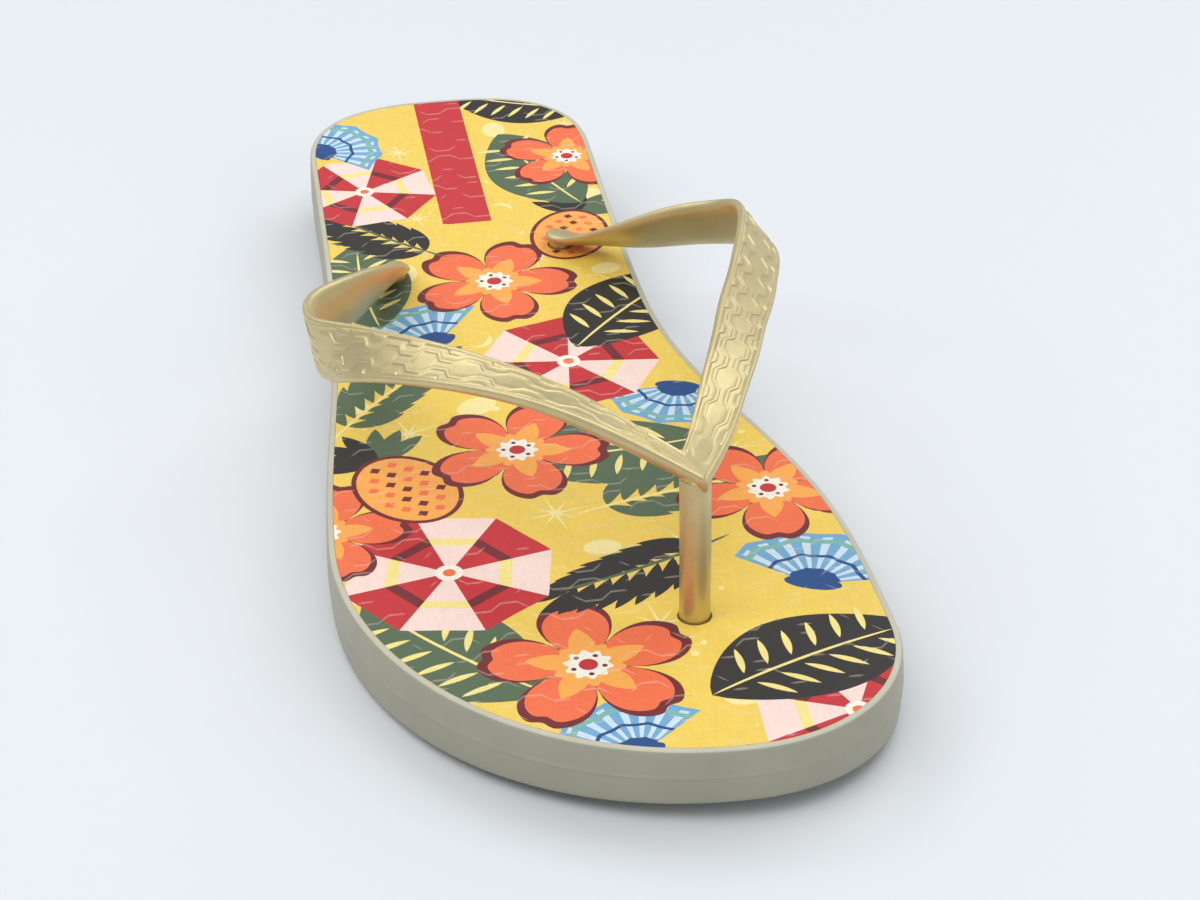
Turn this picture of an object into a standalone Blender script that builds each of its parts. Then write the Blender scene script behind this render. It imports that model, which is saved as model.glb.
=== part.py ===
"""Right flip-flop: a moulded sole, a printed insole sheet and a strap moulded in one piece.

Metres, +Z up, toes at -Y, big-toe side at +X. The origin is on the floor under the sole.
"""
import math
from collections import namedtuple

import bmesh
import bpy
import numpy as np
from mathutils import Vector

# Sole sizes
SOLE_LENGTH = 0.252
HALF_BALL_WIDTH = 0.046
TOE_TIP_OFFSET = 0.015
HEEL_TIP_OFFSET = -0.0065
OUTER_TOE_ROUND = 0.072
INNER_TOE_ROUND = 0.031
HEEL_ROUND = 0.028
TOE_SQUARENESS = 2.05
HEEL_SQUARENESS = 2.6
FOREFOOT_HEIGHT = 0.0140
HEEL_HEIGHT = 0.0205
TOE_SPRING = 0.0033
TOE_SPRING_LENGTH = 0.062
TOP_EDGE_ROUND = 0.0006
BOTTOM_EDGE_ROUND = 0.0014
WALL_BULGE = 0.0003

# Insole sizes
RIM_WIDTH = 0.0006
INSOLE_THICKNESS = 0.0012
FIT_GAP = 0.0003

# Tread grooves under the ball and the heel
GROOVE_WIDTH = 0.0018
GROOVE_DEPTH = 0.0010
GROOVE_PITCH = 0.0085
GROOVE_MARGIN = 0.009
BALL_FIELD = (0.064, 0.116)
HEEL_FIELD = (0.194, 0.238)

# Strap holes, as places from the toe tip and from the middle line
TOE_HOLE_FROM_TOE = 0.0390
TOE_HOLE_OFFSET = 0.0127
INNER_HOLE_FROM_TOE = 0.1785
INNER_HOLE_OFFSET = 0.0115
OUTER_HOLE_FROM_TOE = 0.1705
OUTER_HOLE_OFFSET = -0.0250

# Strap sizes
POST_RADIUS = 0.0026
NECK_RADIUS = 0.0023
HOLE_GAP = 0.0004
PLUG_RADIUS = 0.0075
PLUG_THICKNESS = 0.0020
PLUG_RECESS = 0.0028
PLUG_GAP = 0.0005
STRAP_WIDTH = 0.0112
STRAP_THICKNESS = 0.0025
STRAP_RISE = 0.032
STRAP_BOW = 0.034
JUNCTION_SET_BACK = 0.0012
JUNCTION_RISE = 0.0275
JUNCTION_WIDTH = 0.0072
JUNCTION_THICKNESS = 0.0034
MITRE_LENGTH = 0.022
TIP_ROUND = 0.0045
TIP_CLOSED = math.radians(80.0)
TIP_EDGE = 0.4

# How finely the curves are cut into facets
SIDE_STATIONS = 56
EDGE_STEPS = 3
BAND_STATIONS = 56
TIP_STATIONS = 5
HOLE_STEPS = 32
POST_STATIONS = 5
SHARP_ANGLE = math.radians(40.0)

SoleRow = namedtuple("SoleRow", "along outer inner rise")
SOLE_ROWS = (
    SoleRow(along=0.00, outer=1.035, inner=1.00, rise=0.00),
    SoleRow(along=0.10, outer=1.035, inner=1.00, rise=-0.06),
    SoleRow(along=0.20, outer=1.035, inner=1.00, rise=-0.08),
    SoleRow(along=0.29, outer=1.025, inner=0.96, rise=-0.07),
    SoleRow(along=0.38, outer=0.99, inner=0.84, rise=-0.04),
    SoleRow(along=0.48, outer=0.93, inner=0.67, rise=0.04),
    SoleRow(along=0.57, outer=0.885, inner=0.575, rise=0.14),
    SoleRow(along=0.66, outer=0.86, inner=0.555, rise=0.26),
    SoleRow(along=0.80, outer=0.845, inner=0.555, rise=0.52),
    SoleRow(along=0.90, outer=0.84, inner=0.56, rise=0.74),
    SoleRow(along=1.00, outer=0.84, inner=0.56, rise=1.00),
)

# One row for each section of an arm: run is the way from the toe post to the side hole, out the
# share of the bow, rise the share of the height over the footbed, tilt the lean in degrees
ArmRow = namedtuple("ArmRow", "run out rise tilt")
INNER_ARM_ROWS = (
    ArmRow(run=0.07, out=0.14, rise=0.88, tilt=8),
    ArmRow(run=0.165, out=0.29, rise=0.92, tilt=16),
    ArmRow(run=0.265, out=0.44, rise=0.92, tilt=24),
    ArmRow(run=0.365, out=0.57, rise=0.88, tilt=31),
    ArmRow(run=0.465, out=0.71, rise=0.82, tilt=37),
    ArmRow(run=0.56, out=0.83, rise=0.77, tilt=42),
    ArmRow(run=0.645, out=0.925, rise=0.72, tilt=47),
    ArmRow(run=0.72, out=0.955, rise=0.655, tilt=58),
    ArmRow(run=0.78, out=0.89, rise=0.545, tilt=68),
    ArmRow(run=0.84, out=0.67, rise=0.415, tilt=68),
    ArmRow(run=0.91, out=0.355, rise=0.215, tilt=46),
    ArmRow(run=0.96, out=0.145, rise=0.108, tilt=24),
    ArmRow(run=1.00, out=0.00, rise=0.056, tilt=9),
    ArmRow(run=1.02, out=-0.05, rise=0.054, tilt=5),
)
OUTER_ARM_ROWS = (
    ArmRow(run=0.07, out=0.185, rise=0.95, tilt=-18),
    ArmRow(run=0.165, out=0.39, rise=1.01, tilt=-8),
    ArmRow(run=0.27, out=0.59, rise=0.99, tilt=6),
    ArmRow(run=0.375, out=0.76, rise=0.905, tilt=20),
    ArmRow(run=0.475, out=0.885, rise=0.78, tilt=36),
    ArmRow(run=0.565, out=0.965, rise=0.645, tilt=62),
    ArmRow(run=0.64, out=0.995, rise=0.555, tilt=92),
    ArmRow(run=0.715, out=0.90, rise=0.515, tilt=98),
    ArmRow(run=0.775, out=0.66, rise=0.445, tilt=88),
    ArmRow(run=0.84, out=0.40, rise=0.335, tilt=74),
    ArmRow(run=0.91, out=0.19, rise=0.200, tilt=48),
    ArmRow(run=0.96, out=0.08, rise=0.106, tilt=26),
    ArmRow(run=1.00, out=0.00, rise=0.056, tilt=9),
    ArmRow(run=1.02, out=-0.035, rise=0.054, tilt=5),
)

# Width and thickness of an arm along its length, as shares of the strap sizes,
# and how far its section has turned from a rimmed band into a rounded bar
WidthRow = namedtuple("WidthRow", "along width thickness roundness")
WIDTH_ROWS = (
    WidthRow(along=0.00, width=0.60, thickness=1.36, roundness=0.00),
    WidthRow(along=0.10, width=0.69, thickness=1.30, roundness=0.00),
    WidthRow(along=0.22, width=0.80, thickness=1.16, roundness=0.00),
    WidthRow(along=0.36, width=0.91, thickness=1.05, roundness=0.00),
    WidthRow(along=0.50, width=0.98, thickness=1.00, roundness=0.00),
    WidthRow(along=0.66, width=1.00, thickness=1.00, roundness=0.00),
    WidthRow(along=0.80, width=0.93, thickness=1.00, roundness=0.08),
    WidthRow(along=0.90, width=0.80, thickness=1.00, roundness=0.50),
    WidthRow(along=0.96, width=0.66, thickness=1.00, roundness=0.90),
    WidthRow(along=1.00, width=0.60, thickness=1.00, roundness=1.00),
)

# Half of the arm's section, from the middle of its outer face round to the middle of its back
SectionRow = namedtuple("SectionRow", "across up")
SECTION_ROWS = (
    SectionRow(across=0.00, up=0.84),
    SectionRow(across=0.38, up=0.83),
    SectionRow(across=0.72, up=0.80),
    SectionRow(across=0.79, up=0.97),
    SectionRow(across=0.93, up=0.95),
    SectionRow(across=1.00, up=0.55),
    SectionRow(across=0.99, up=-0.02),
    SectionRow(across=0.88, up=-0.46),
    SectionRow(across=0.52, up=-0.90),
    SectionRow(across=0.00, up=-1.00),
)

UP = Vector((0.0, 0.0, 1.0))
OUTER = -1
INNER = 1


def clear_scene():
    """Start from an empty scene."""
    for item in list(bpy.data.objects):
        bpy.data.objects.remove(item, do_unlink=True)


def curve_through(places, values):
    """A natural cubic curve through the values at the places, as a function."""
    x = np.array(places, dtype=float)
    y = np.array(values, dtype=float)
    step = np.diff(x)
    slope = np.diff(y, axis=0)
    slope = slope / (step if y.ndim == 1 else step[:, None])
    count = len(x)
    matrix = np.eye(count)
    right = np.zeros_like(y)
    for i in range(1, count - 1):
        matrix[i, i - 1:i + 2] = step[i - 1], 2.0 * (step[i - 1] + step[i]), step[i]
        right[i] = 6.0 * (slope[i] - slope[i - 1])
    bend = np.linalg.solve(matrix, right)

    def value(at):
        i = int(np.clip(np.searchsorted(x, at) - 1, 0, count - 2))
        a = x[i + 1] - at
        b = at - x[i]
        h = step[i]
        cubic = (bend[i] * a ** 3 + bend[i + 1] * b ** 3) / (6.0 * h)
        return cubic + (y[i] / h - bend[i] * h / 6.0) * a + (y[i + 1] / h - bend[i + 1] * h / 6.0) * b

    return value


def column(rows, name):
    """One named column of a table."""
    return [getattr(row, name) for row in rows]


def sole_curve(name):
    """A column of the sole's table as a smooth curve along the shoe."""
    return curve_through(column(SOLE_ROWS, "along"), column(SOLE_ROWS, name))


OUTER_EDGE = sole_curve("outer")
INNER_EDGE = sole_curve("inner")
TOP_RISE = sole_curve("rise")


def smooth(share):
    """Ease from 0 to 1."""
    share = min(max(share, 0.0), 1.0)
    return share * share * (3.0 - 2.0 * share)


def rounding(distance, length, power):
    """How far a rounded end has opened at a distance from its tip, 0 to 1."""
    left = 1.0 - min(max(distance / length, 0.0), 1.0)
    return (1.0 - left ** power) ** (1.0 / power)


def along_to_y(from_toe):
    """World Y of a place measured from the toe tip."""
    return from_toe - SOLE_LENGTH / 2.0


def sole_edge(along, side):
    """Plan point of the sole's edge at a share of its length."""
    from_toe = along * SOLE_LENGTH
    share = OUTER_EDGE(along) if side == OUTER else INNER_EDGE(along)
    toe_round = OUTER_TOE_ROUND if side == OUTER else INNER_TOE_ROUND
    toe_opening = rounding(from_toe, toe_round, TOE_SQUARENESS)
    heel_opening = rounding(SOLE_LENGTH - from_toe, HEEL_ROUND, HEEL_SQUARENESS)
    x = side * share * HALF_BALL_WIDTH
    x = TOE_TIP_OFFSET + (x - TOE_TIP_OFFSET) * toe_opening
    x = HEEL_TIP_OFFSET + (x - HEEL_TIP_OFFSET) * heel_opening
    return Vector((x, along_to_y(from_toe), 0.0))


def top_height(y):
    """Height of the footbed at world Y."""
    along = min(max(y / SOLE_LENGTH + 0.5, 0.0), 1.0)
    return FOREFOOT_HEIGHT + (HEEL_HEIGHT - FOREFOOT_HEIGHT) * TOP_RISE(along)


def bottom_height(y):
    """Height of the underside at world Y: flat, with the toe sprung up."""
    lift = max(0.0, 1.0 - (y + SOLE_LENGTH / 2.0) / TOE_SPRING_LENGTH)
    return TOE_SPRING * lift * lift


def sole_outline():
    """Plan points round the sole from the toe tip along the outer side and back, with normals."""
    shares = [0.5 - 0.5 * math.cos(math.pi * i / SIDE_STATIONS) for i in range(SIDE_STATIONS + 1)]
    points = [sole_edge(share, OUTER) for share in shares]
    points += [sole_edge(share, INNER) for share in reversed(shares[1:-1])]
    normals = []
    for i, point in enumerate(points):
        run = points[(i + 1) % len(points)] - points[i - 1]
        normals.append(Vector((-run.y, run.x, 0.0)).normalized() * -1.0)
    if normals[SIDE_STATIONS].y < 0.0:
        normals = [-normal for normal in normals]
    return points, normals


def sole_ring(outline, inset, height):
    """The outline moved in by an inset, each point at its own height."""
    points, normals = outline
    ring = []
    for point, normal in zip(points, normals):
        moved = point - normal * inset
        ring.append(Vector((moved.x, moved.y, height(moved.y))))
    return ring


def add_material(item, name, colour, roughness, metallic=0.0):
    """Give an object its own material."""
    material = bpy.data.materials.new(name)
    material.use_nodes = True
    shader = material.node_tree.nodes["Principled BSDF"]
    shader.inputs["Base Color"].default_value = (*colour, 1.0)
    shader.inputs["Roughness"].default_value = roughness
    shader.inputs["Metallic"].default_value = metallic
    item.data.materials.append(material)


def mesh_object(name, mesh_data):
    """Turn a bmesh into an object, with its faces pointing out and round parts smooth."""
    bmesh.ops.recalc_face_normals(mesh_data, faces=mesh_data.faces)
    mesh = bpy.data.meshes.new(name)
    mesh_data.to_mesh(mesh)
    mesh_data.free()
    mesh.shade_smooth()
    mesh.set_sharp_from_angle(angle=SHARP_ANGLE)
    item = bpy.data.objects.new(name, mesh)
    bpy.context.collection.objects.link(item)
    return item


def bridge(mesh_data, first, second):
    """Join two rings of as many vertices with quads."""
    for i in range(len(first)):
        j = (i + 1) % len(first)
        mesh_data.faces.new((first[i], first[j], second[j], second[i]))


def fill_outline(mesh_data, ring):
    """Fill a sole ring with strips across the shoe, from its outer to its inner side."""
    count = len(ring)
    for i in range(SIDE_STATIONS):
        outer_pair = (ring[i], ring[i + 1])
        inner_pair = (ring[(count - i - 1) % count], ring[(count - i) % count])
        corners = []
        for corner in outer_pair + inner_pair:
            if corner not in corners:
                corners.append(corner)
        mesh_data.faces.new(corners)


def stack_rings(name, rings):
    """A closed solid from sole rings stacked from its underside to its top."""
    mesh_data = bmesh.new()
    loops = [[mesh_data.verts.new(point) for point in ring] for ring in rings]
    for lower, upper in zip(loops, loops[1:]):
        bridge(mesh_data, lower, upper)
    fill_outline(mesh_data, loops[0])
    fill_outline(mesh_data, loops[-1])
    bmesh.ops.triangulate(mesh_data, faces=mesh_data.faces)
    return mesh_object(name, mesh_data)


def combine(item, other, operation):
    """Cut another form from an object, or join it on as one body."""
    other.hide_render = True
    other.display_type = "WIRE"
    step = item.modifiers.new(other.name, "BOOLEAN")
    step.operation = operation
    step.solver = "EXACT"
    step.object = other


def circle(centre, radius, height):
    """Points of a level circle."""
    turns = [2.0 * math.pi * step / HOLE_STEPS for step in range(HOLE_STEPS)]
    return [Vector((centre.x + radius * math.cos(turn), centre.y + radius * math.sin(turn), height))
            for turn in turns]


def sweep(name, rings):
    """A closed solid through a list of rings."""
    mesh_data = bmesh.new()
    loops = [[mesh_data.verts.new(point) for point in ring] for ring in rings]
    for first, second in zip(loops, loops[1:]):
        bridge(mesh_data, first, second)
    mesh_data.faces.new(loops[0])
    mesh_data.faces.new(loops[-1])
    bmesh.ops.triangulate(mesh_data, faces=mesh_data.faces)
    return mesh_object(name, mesh_data)


def cylinder(name, centre, radius, low, high):
    """A plain upright cylinder."""
    mesh_data = bmesh.new()
    ends = []
    for height in (low, high):
        ends.append([mesh_data.verts.new(point) for point in circle(centre, radius, height)])
    bridge(mesh_data, ends[0], ends[1])
    mesh_data.faces.new(ends[0])
    mesh_data.faces.new(ends[1])
    return mesh_object(name, mesh_data)


def hole_centres():
    """Plan places of the three strap holes: toe, inner side and outer side."""
    return {
        "toe": Vector((TOE_HOLE_OFFSET, along_to_y(TOE_HOLE_FROM_TOE), 0.0)),
        "inner": Vector((INNER_HOLE_OFFSET, along_to_y(INNER_HOLE_FROM_TOE), 0.0)),
        "outer": Vector((OUTER_HOLE_OFFSET, along_to_y(OUTER_HOLE_FROM_TOE), 0.0)),
    }


def hole_radius(name):
    """A strap hole is its shank's radius and a gap."""
    return (POST_RADIUS if name == "toe" else NECK_RADIUS) + HOLE_GAP


def strap_hole(name, centre, radius):
    """The cutter of a strap hole, from under the sole to over it."""
    return cylinder(name, centre, radius, -HEEL_HEIGHT, 2.0 * HEEL_HEIGHT)


def wall_rings(outline):
    """The sole's wall from its underside, round the edges, to the rim round the insole."""
    rings = []
    for step in range(EDGE_STEPS + 1):
        turn = 0.5 * math.pi * step / EDGE_STEPS
        inset = WALL_BULGE + BOTTOM_EDGE_ROUND * (1.0 - math.sin(turn))
        lift = BOTTOM_EDGE_ROUND * (1.0 - math.cos(turn))
        rings.append(sole_ring(outline, inset, lambda y, lift=lift: bottom_height(y) + lift))
    rings.append(sole_ring(outline, 0.0, lambda y: 0.5 * (bottom_height(y) + top_height(y))))
    for step in range(EDGE_STEPS + 1):
        turn = 0.5 * math.pi * step / EDGE_STEPS
        inset = WALL_BULGE + TOP_EDGE_ROUND * (1.0 - math.cos(turn))
        drop = TOP_EDGE_ROUND * (1.0 - math.sin(turn))
        rings.append(sole_ring(outline, inset, lambda y, drop=drop: top_height(y) - drop))
    return rings


def insole_inset():
    """How far the insole's pocket lies inside the sole's edge."""
    return WALL_BULGE + TOP_EDGE_ROUND + RIM_WIDTH


def make_sole(outline):
    """The moulded sole with its pocket, strap holes, plug recesses and tread grooves."""
    rings = wall_rings(outline)
    pocket = insole_inset()
    rings.append(sole_ring(outline, pocket, top_height))
    rings.append(sole_ring(outline, pocket, lambda y: top_height(y) - INSOLE_THICKNESS - FIT_GAP))
    sole = stack_rings("sole", rings)
    for name, centre in hole_centres().items():
        floor = bottom_height(centre.y)
        hole = strap_hole("sole_hole_" + name, centre, hole_radius(name))
        recess = cylinder("recess_" + name, centre, PLUG_RADIUS + PLUG_GAP, -HEEL_HEIGHT, floor + PLUG_RECESS)
        combine(sole, hole, "DIFFERENCE")
        combine(sole, recess, "DIFFERENCE")
    combine(sole, make_groove_cutter(), "DIFFERENCE")
    add_material(sole, "greige foam rubber", (0.385, 0.360, 0.285), 0.45)
    return sole


def make_groove_cutter():
    """Bars for the tread grooves, each kept a margin inside the edge."""
    mesh_data = bmesh.new()
    for start, end in (BALL_FIELD, HEEL_FIELD):
        for step in range(round((end - start) / GROOVE_PITCH) + 1):
            from_toe = start + step * GROOVE_PITCH
            along = from_toe / SOLE_LENGTH
            left = sole_edge(along, OUTER).x + GROOVE_MARGIN
            right = sole_edge(along, INNER).x - GROOVE_MARGIN
            corners = bmesh.ops.create_cube(mesh_data, size=1.0)["verts"]
            bmesh.ops.scale(mesh_data, verts=corners, vec=(right - left, GROOVE_WIDTH, 2.0 * GROOVE_DEPTH))
            middle = (0.5 * (left + right), along_to_y(from_toe), 0.0)
            bmesh.ops.translate(mesh_data, verts=corners, vec=middle)
    return mesh_object("groove_bars", mesh_data)


def make_insole(outline):
    """The printed sheet that lies in the sole's pocket, with its three holes."""
    inset = insole_inset() + FIT_GAP
    rings = [
        sole_ring(outline, inset, lambda y: top_height(y) - INSOLE_THICKNESS),
        sole_ring(outline, inset, top_height),
    ]
    insole = stack_rings("insole", rings)
    for name, centre in hole_centres().items():
        hole = strap_hole("insole_hole_" + name, centre, hole_radius(name))
        combine(insole, hole, "DIFFERENCE")
    add_material(insole, "printed insole sheet", (0.760, 0.560, 0.115), 0.55)
    return insole


def section_ring(centre, across, up, roundness):
    """One ring of the strap, from the rimmed section to a rounded one."""
    half = []
    for row in SECTION_ROWS:
        bar = math.copysign(math.sqrt(1.0 - row.across ** 2), row.up)
        half.append((row.across, row.up * (1.0 - roundness) + bar * roundness))
    whole = half + [(-x, z) for x, z in reversed(half[1:-1])]
    return [centre + across * x + up * z for x, z in whole]


def level(direction):
    """A direction with its slope removed."""
    return Vector((direction.x, direction.y, 0.0)).normalized()


def arm_route(start, hole, rows, side):
    """Centre curve of an arm from the junction past its hole, and the places of its rows."""
    base = level(hole - start) * Vector((hole.x - start.x, hole.y - start.y)).length
    out = Vector((base.y, -base.x, 0.0)).normalized() * side
    points = [start]
    for row in rows:
        plan = Vector((start.x, start.y, 0.0)) + base * row.run + out * (row.out * STRAP_BOW)
        points.append(plan + UP * (top_height(plan.y) + row.rise * STRAP_RISE))
    lengths = [0.0]
    for a, b in zip(points, points[1:]):
        lengths.append(lengths[-1] + (b - a).length)
    places = [length / lengths[-1] for length in lengths]
    return curve_through(places, [tuple(point) for point in points]), places, lengths[-1]


def arm_stations(length):
    """Shares of an arm's length for its rings: even along the band, closer round its tip."""
    band_end = 1.0 - TIP_ROUND / length
    stations = [band_end * (i + 1) / BAND_STATIONS for i in range(BAND_STATIONS)]
    for i in range(1, TIP_STATIONS + 1):
        turn = TIP_CLOSED * i / TIP_STATIONS
        stations.append(band_end + (1.0 - band_end) * math.sin(turn))
    return stations


def arm_rings(start, hole, rows, side, mitre):
    """Rings of one arm, from just past the junction to its rounded tip over the hole."""
    route, places, length = arm_route(start, hole, rows, side)
    width_at = curve_through(column(WIDTH_ROWS, "along"), column(WIDTH_ROWS, "width"))
    thickness_at = curve_through(column(WIDTH_ROWS, "along"), column(WIDTH_ROWS, "thickness"))
    tilt_at = curve_through(places, [rows[0].tilt] + column(rows, "tilt"))
    roundness_at = curve_through(column(WIDTH_ROWS, "along"), column(WIDTH_ROWS, "roundness"))
    step = 0.25 / BAND_STATIONS
    rings = []
    for at in arm_stations(length):
        centre = Vector(route(at))
        heading = (Vector(route(at + step)) - Vector(route(at - step))).normalized()
        tilt = math.radians(tilt_at(at))
        flat = UP.cross(heading).normalized() * side
        raised = heading.cross(UP.cross(heading).normalized())
        square = flat * math.cos(tilt) + raised * math.sin(tilt)
        mitred = 1.0 - smooth(at * length / MITRE_LENGTH)
        inner = (square * (1.0 - mitred) + mitre * mitred).normalized()
        normal = inner.cross(heading).normalized() * -side
        normal = (normal * (1.0 - mitred) + UP * mitred).normalized()
        open_width = (inner - heading * inner.dot(heading)).length
        tip = rounding((1.0 - at) * length, TIP_ROUND, 2.0)
        half_width = 0.5 * STRAP_WIDTH * width_at(at) / open_width * tip
        half_thick = 0.5 * STRAP_THICKNESS * thickness_at(at) * (TIP_EDGE + (1.0 - TIP_EDGE) * tip)
        roundness = min(max(roundness_at(at), 0.0), 1.0)
        rings.append(section_ring(centre, inner * half_width, normal * half_thick, roundness))
    return rings


def make_shank(name, hole, radius, top):
    """A round shank from inside the strap down through the sole, with the plug at its foot."""
    plug_top = bottom_height(hole.y) + PLUG_RECESS - FIT_GAP
    plug_bottom = plug_top - PLUG_THICKNESS
    stops = [(top + (plug_top - top) * i / POST_STATIONS, radius) for i in range(POST_STATIONS + 1)]
    stops += [(plug_top, PLUG_RADIUS), (plug_bottom, PLUG_RADIUS)]
    return sweep(name, [circle(hole, ring_radius, height) for height, ring_radius in stops])


def make_strap():
    """The strap in one piece: two arms that meet in a mitre, and three shanks with plugs."""
    holes = hole_centres()
    toe = holes["toe"]
    junction = Vector((toe.x, toe.y + JUNCTION_SET_BACK, top_height(toe.y) + JUNCTION_RISE))
    arms = ((holes["outer"], OUTER_ARM_ROWS, OUTER), (holes["inner"], INNER_ARM_ROWS, INNER))
    headings = []
    for hole, rows, side in arms:
        route, _, length = arm_route(junction, hole, rows, side)
        headings.append(level(Vector(route(0.5 * MITRE_LENGTH / length)) - junction))
    mitre = (headings[0] + headings[1]).normalized()
    half_width = 0.5 * JUNCTION_WIDTH / math.sin(0.5 * headings[0].angle(headings[1]))
    middle = section_ring(junction, mitre * half_width, UP * (0.5 * JUNCTION_THICKNESS), 0.0)
    outer, inner = [arm_rings(junction, hole, rows, side, mitre) for hole, rows, side in arms]
    strap = sweep("strap", outer[::-1] + [middle] + inner)
    combine(strap, make_shank("toe_post", toe, POST_RADIUS, junction.z), "UNION")
    for name, rows in (("outer", OUTER_ARM_ROWS), ("inner", INNER_ARM_ROWS)):
        hole = holes[name]
        over_hole = [row.rise for row in rows if row.run == 1.0][0]
        neck_top = top_height(hole.y) + over_hole * STRAP_RISE
        combine(strap, make_shank(name + "_neck", hole, NECK_RADIUS, neck_top), "UNION")
    add_material(strap, "champagne gold plastic", (0.560, 0.450, 0.190), 0.30, 0.75)
    return strap


def main():
    clear_scene()
    outline = sole_outline()
    make_sole(outline)
    make_insole(outline)
    make_strap()


main()
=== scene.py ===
"""Right flip-flop dressed for the render: foam sole, printed insole and moulded gold strap.

Metres, +Z up, toes at -Y, big-toe side at +X. The origin is on the floor under the sole.
"""
import math
import random
from collections import namedtuple

import bmesh
import bpy
import numpy as np
from mathutils import Matrix, Vector, geometry


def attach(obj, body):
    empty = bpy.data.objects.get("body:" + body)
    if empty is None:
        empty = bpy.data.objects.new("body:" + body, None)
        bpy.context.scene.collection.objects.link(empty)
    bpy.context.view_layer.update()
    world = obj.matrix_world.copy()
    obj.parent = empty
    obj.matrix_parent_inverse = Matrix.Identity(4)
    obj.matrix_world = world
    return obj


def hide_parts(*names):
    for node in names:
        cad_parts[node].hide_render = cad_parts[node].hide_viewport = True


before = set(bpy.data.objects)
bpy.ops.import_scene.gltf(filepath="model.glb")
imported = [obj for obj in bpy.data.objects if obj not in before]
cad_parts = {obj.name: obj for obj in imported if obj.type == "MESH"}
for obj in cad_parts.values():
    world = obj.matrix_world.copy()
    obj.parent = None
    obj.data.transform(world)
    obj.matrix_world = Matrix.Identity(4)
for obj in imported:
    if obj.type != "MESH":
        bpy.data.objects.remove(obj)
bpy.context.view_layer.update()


def table(columns, *rows):
    """A table whose columns are named."""
    kind = namedtuple("Row", columns)
    return [kind(*row) for row in rows]


MM = 0.001
UP = Vector((0.0, 0.0, 1.0))
OUTER = -1
INNER = 1

# Sole sizes, as in the part's source
SOLE_LENGTH = 0.252
HALF_BALL_WIDTH = 0.046
TOE_TIP_OFFSET = 0.015
HEEL_TIP_OFFSET = -0.0065
OUTER_TOE_ROUND = 0.072
INNER_TOE_ROUND = 0.031
HEEL_ROUND = 0.028
TOE_SQUARENESS = 2.05
HEEL_SQUARENESS = 2.6
FOREFOOT_HEIGHT = 0.0140
HEEL_HEIGHT = 0.0205
TOE_SPRING = 0.0033
TOE_SPRING_LENGTH = 0.062
TOP_EDGE_ROUND = 0.0006
BOTTOM_EDGE_ROUND = 0.0014
WALL_BULGE = 0.0003
RIM_WIDTH = 0.0006
POCKET_INSET = WALL_BULGE + TOP_EDGE_ROUND + RIM_WIDTH
INSOLE_THICKNESS = 0.0012
FIT_GAP = 0.0003
INSOLE_EDGE_GAP = 0.2 * FIT_GAP

# Tread grooves under the ball and the heel
GROOVE_WIDTH = 0.0018
GROOVE_DEPTH = 0.0010
GROOVE_PITCH = 0.0085
GROOVE_MARGIN = 0.009
BALL_FIELD = (0.064, 0.116)
HEEL_FIELD = (0.194, 0.238)
FINE_GROOVE_WIDTH = 0.0007
FINE_GROOVE_DEPTH = 0.0004
FINE_GROOVE_SWING = 0.0007
FINE_GROOVE_WAVE = 0.006

# Strap holes, as places from the toe tip and from the middle line
TOE_HOLE_FROM_TOE = 0.0390
TOE_HOLE_OFFSET = 0.0127
INNER_HOLE_FROM_TOE = 0.1785
INNER_HOLE_OFFSET = 0.0115
OUTER_HOLE_FROM_TOE = 0.1705
OUTER_HOLE_OFFSET = -0.0250

# Strap sizes
POST_RADIUS = 0.0026
NECK_RADIUS = 0.0023
HOLE_GAP = 0.0004
PLUG_RADIUS = 0.0075
PLUG_THICKNESS = 0.0020
PLUG_RECESS = 0.0028
PLUG_GAP = 0.0005
PLUG_TOP_EDGE = 0.0003
PLUG_FOOT_EDGE = 0.0005
SHANK_FOOT = 0.0002
STRAP_WIDTH = 0.0112
STRAP_THICKNESS = 0.0025
STRAP_RISE = 0.032
STRAP_BOW = 0.034
JUNCTION_SET_BACK = 0.0012
JUNCTION_RISE = 0.0275
JUNCTION_WIDTH = 0.0072
JUNCTION_THICKNESS = 0.0034
MITRE_LENGTH = 0.022
TIP_ROUND = 0.0045
TIP_CLOSED = math.radians(80.0)
TIP_EDGE = 0.4
TANGENT_STEP = 0.0045
POST_BOW = 0.0003
POST_SEAM = 0.00009
SEAM_SPREAD = 2e-4

# Fine relief of the strap's outer face: a middle row of cells between two raised bands that
# wind round them, and half cells along both rims
CELL_PITCH = 0.0107
CELL_FLAT = 0.31
CELL_SLOPE = 0.38
BAND_HEIGHT = 0.00023
BAND_EDGE = 0.00014
BAND_EDGE_MOST = 0.026
BAND_WIDTH = 0.175
CELL_LINE = 0.275
CELL_SWING = 0.155
RIM_LINE = 0.720
RIM_BUMP = 0.135
RIM_BUMP_FLAT = 0.76
RIM_BUMP_SLOPE = 0.15
RIM_FOOT = 0.755
RIM_TOP = 0.80
RIM_BUMP_RISE = 3.0
CELL_CROWN = 0.00005
CROWN_START = -0.3
CROWN_SPAN = 0.8
RELIEF_START = 0.0015
RELIEF_START_FADE = 0.003
RELIEF_END_SHARE = 0.70
RELIEF_END_LEAD = 0.07
RELIEF_END_FADE = 0.06

# Places across the face and shares of the height where a band's edge and the plain rim bend
FACE_END = 0.97
EDGE_PROFILE = ((-1.0, 0.0), (-0.4, 0.13), (0.4, 0.87), (1.0, 1.0))
RIM_PLACES = (0.816, 0.832, 0.85, 0.87, 0.895, 0.92, 0.945, FACE_END)

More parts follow.
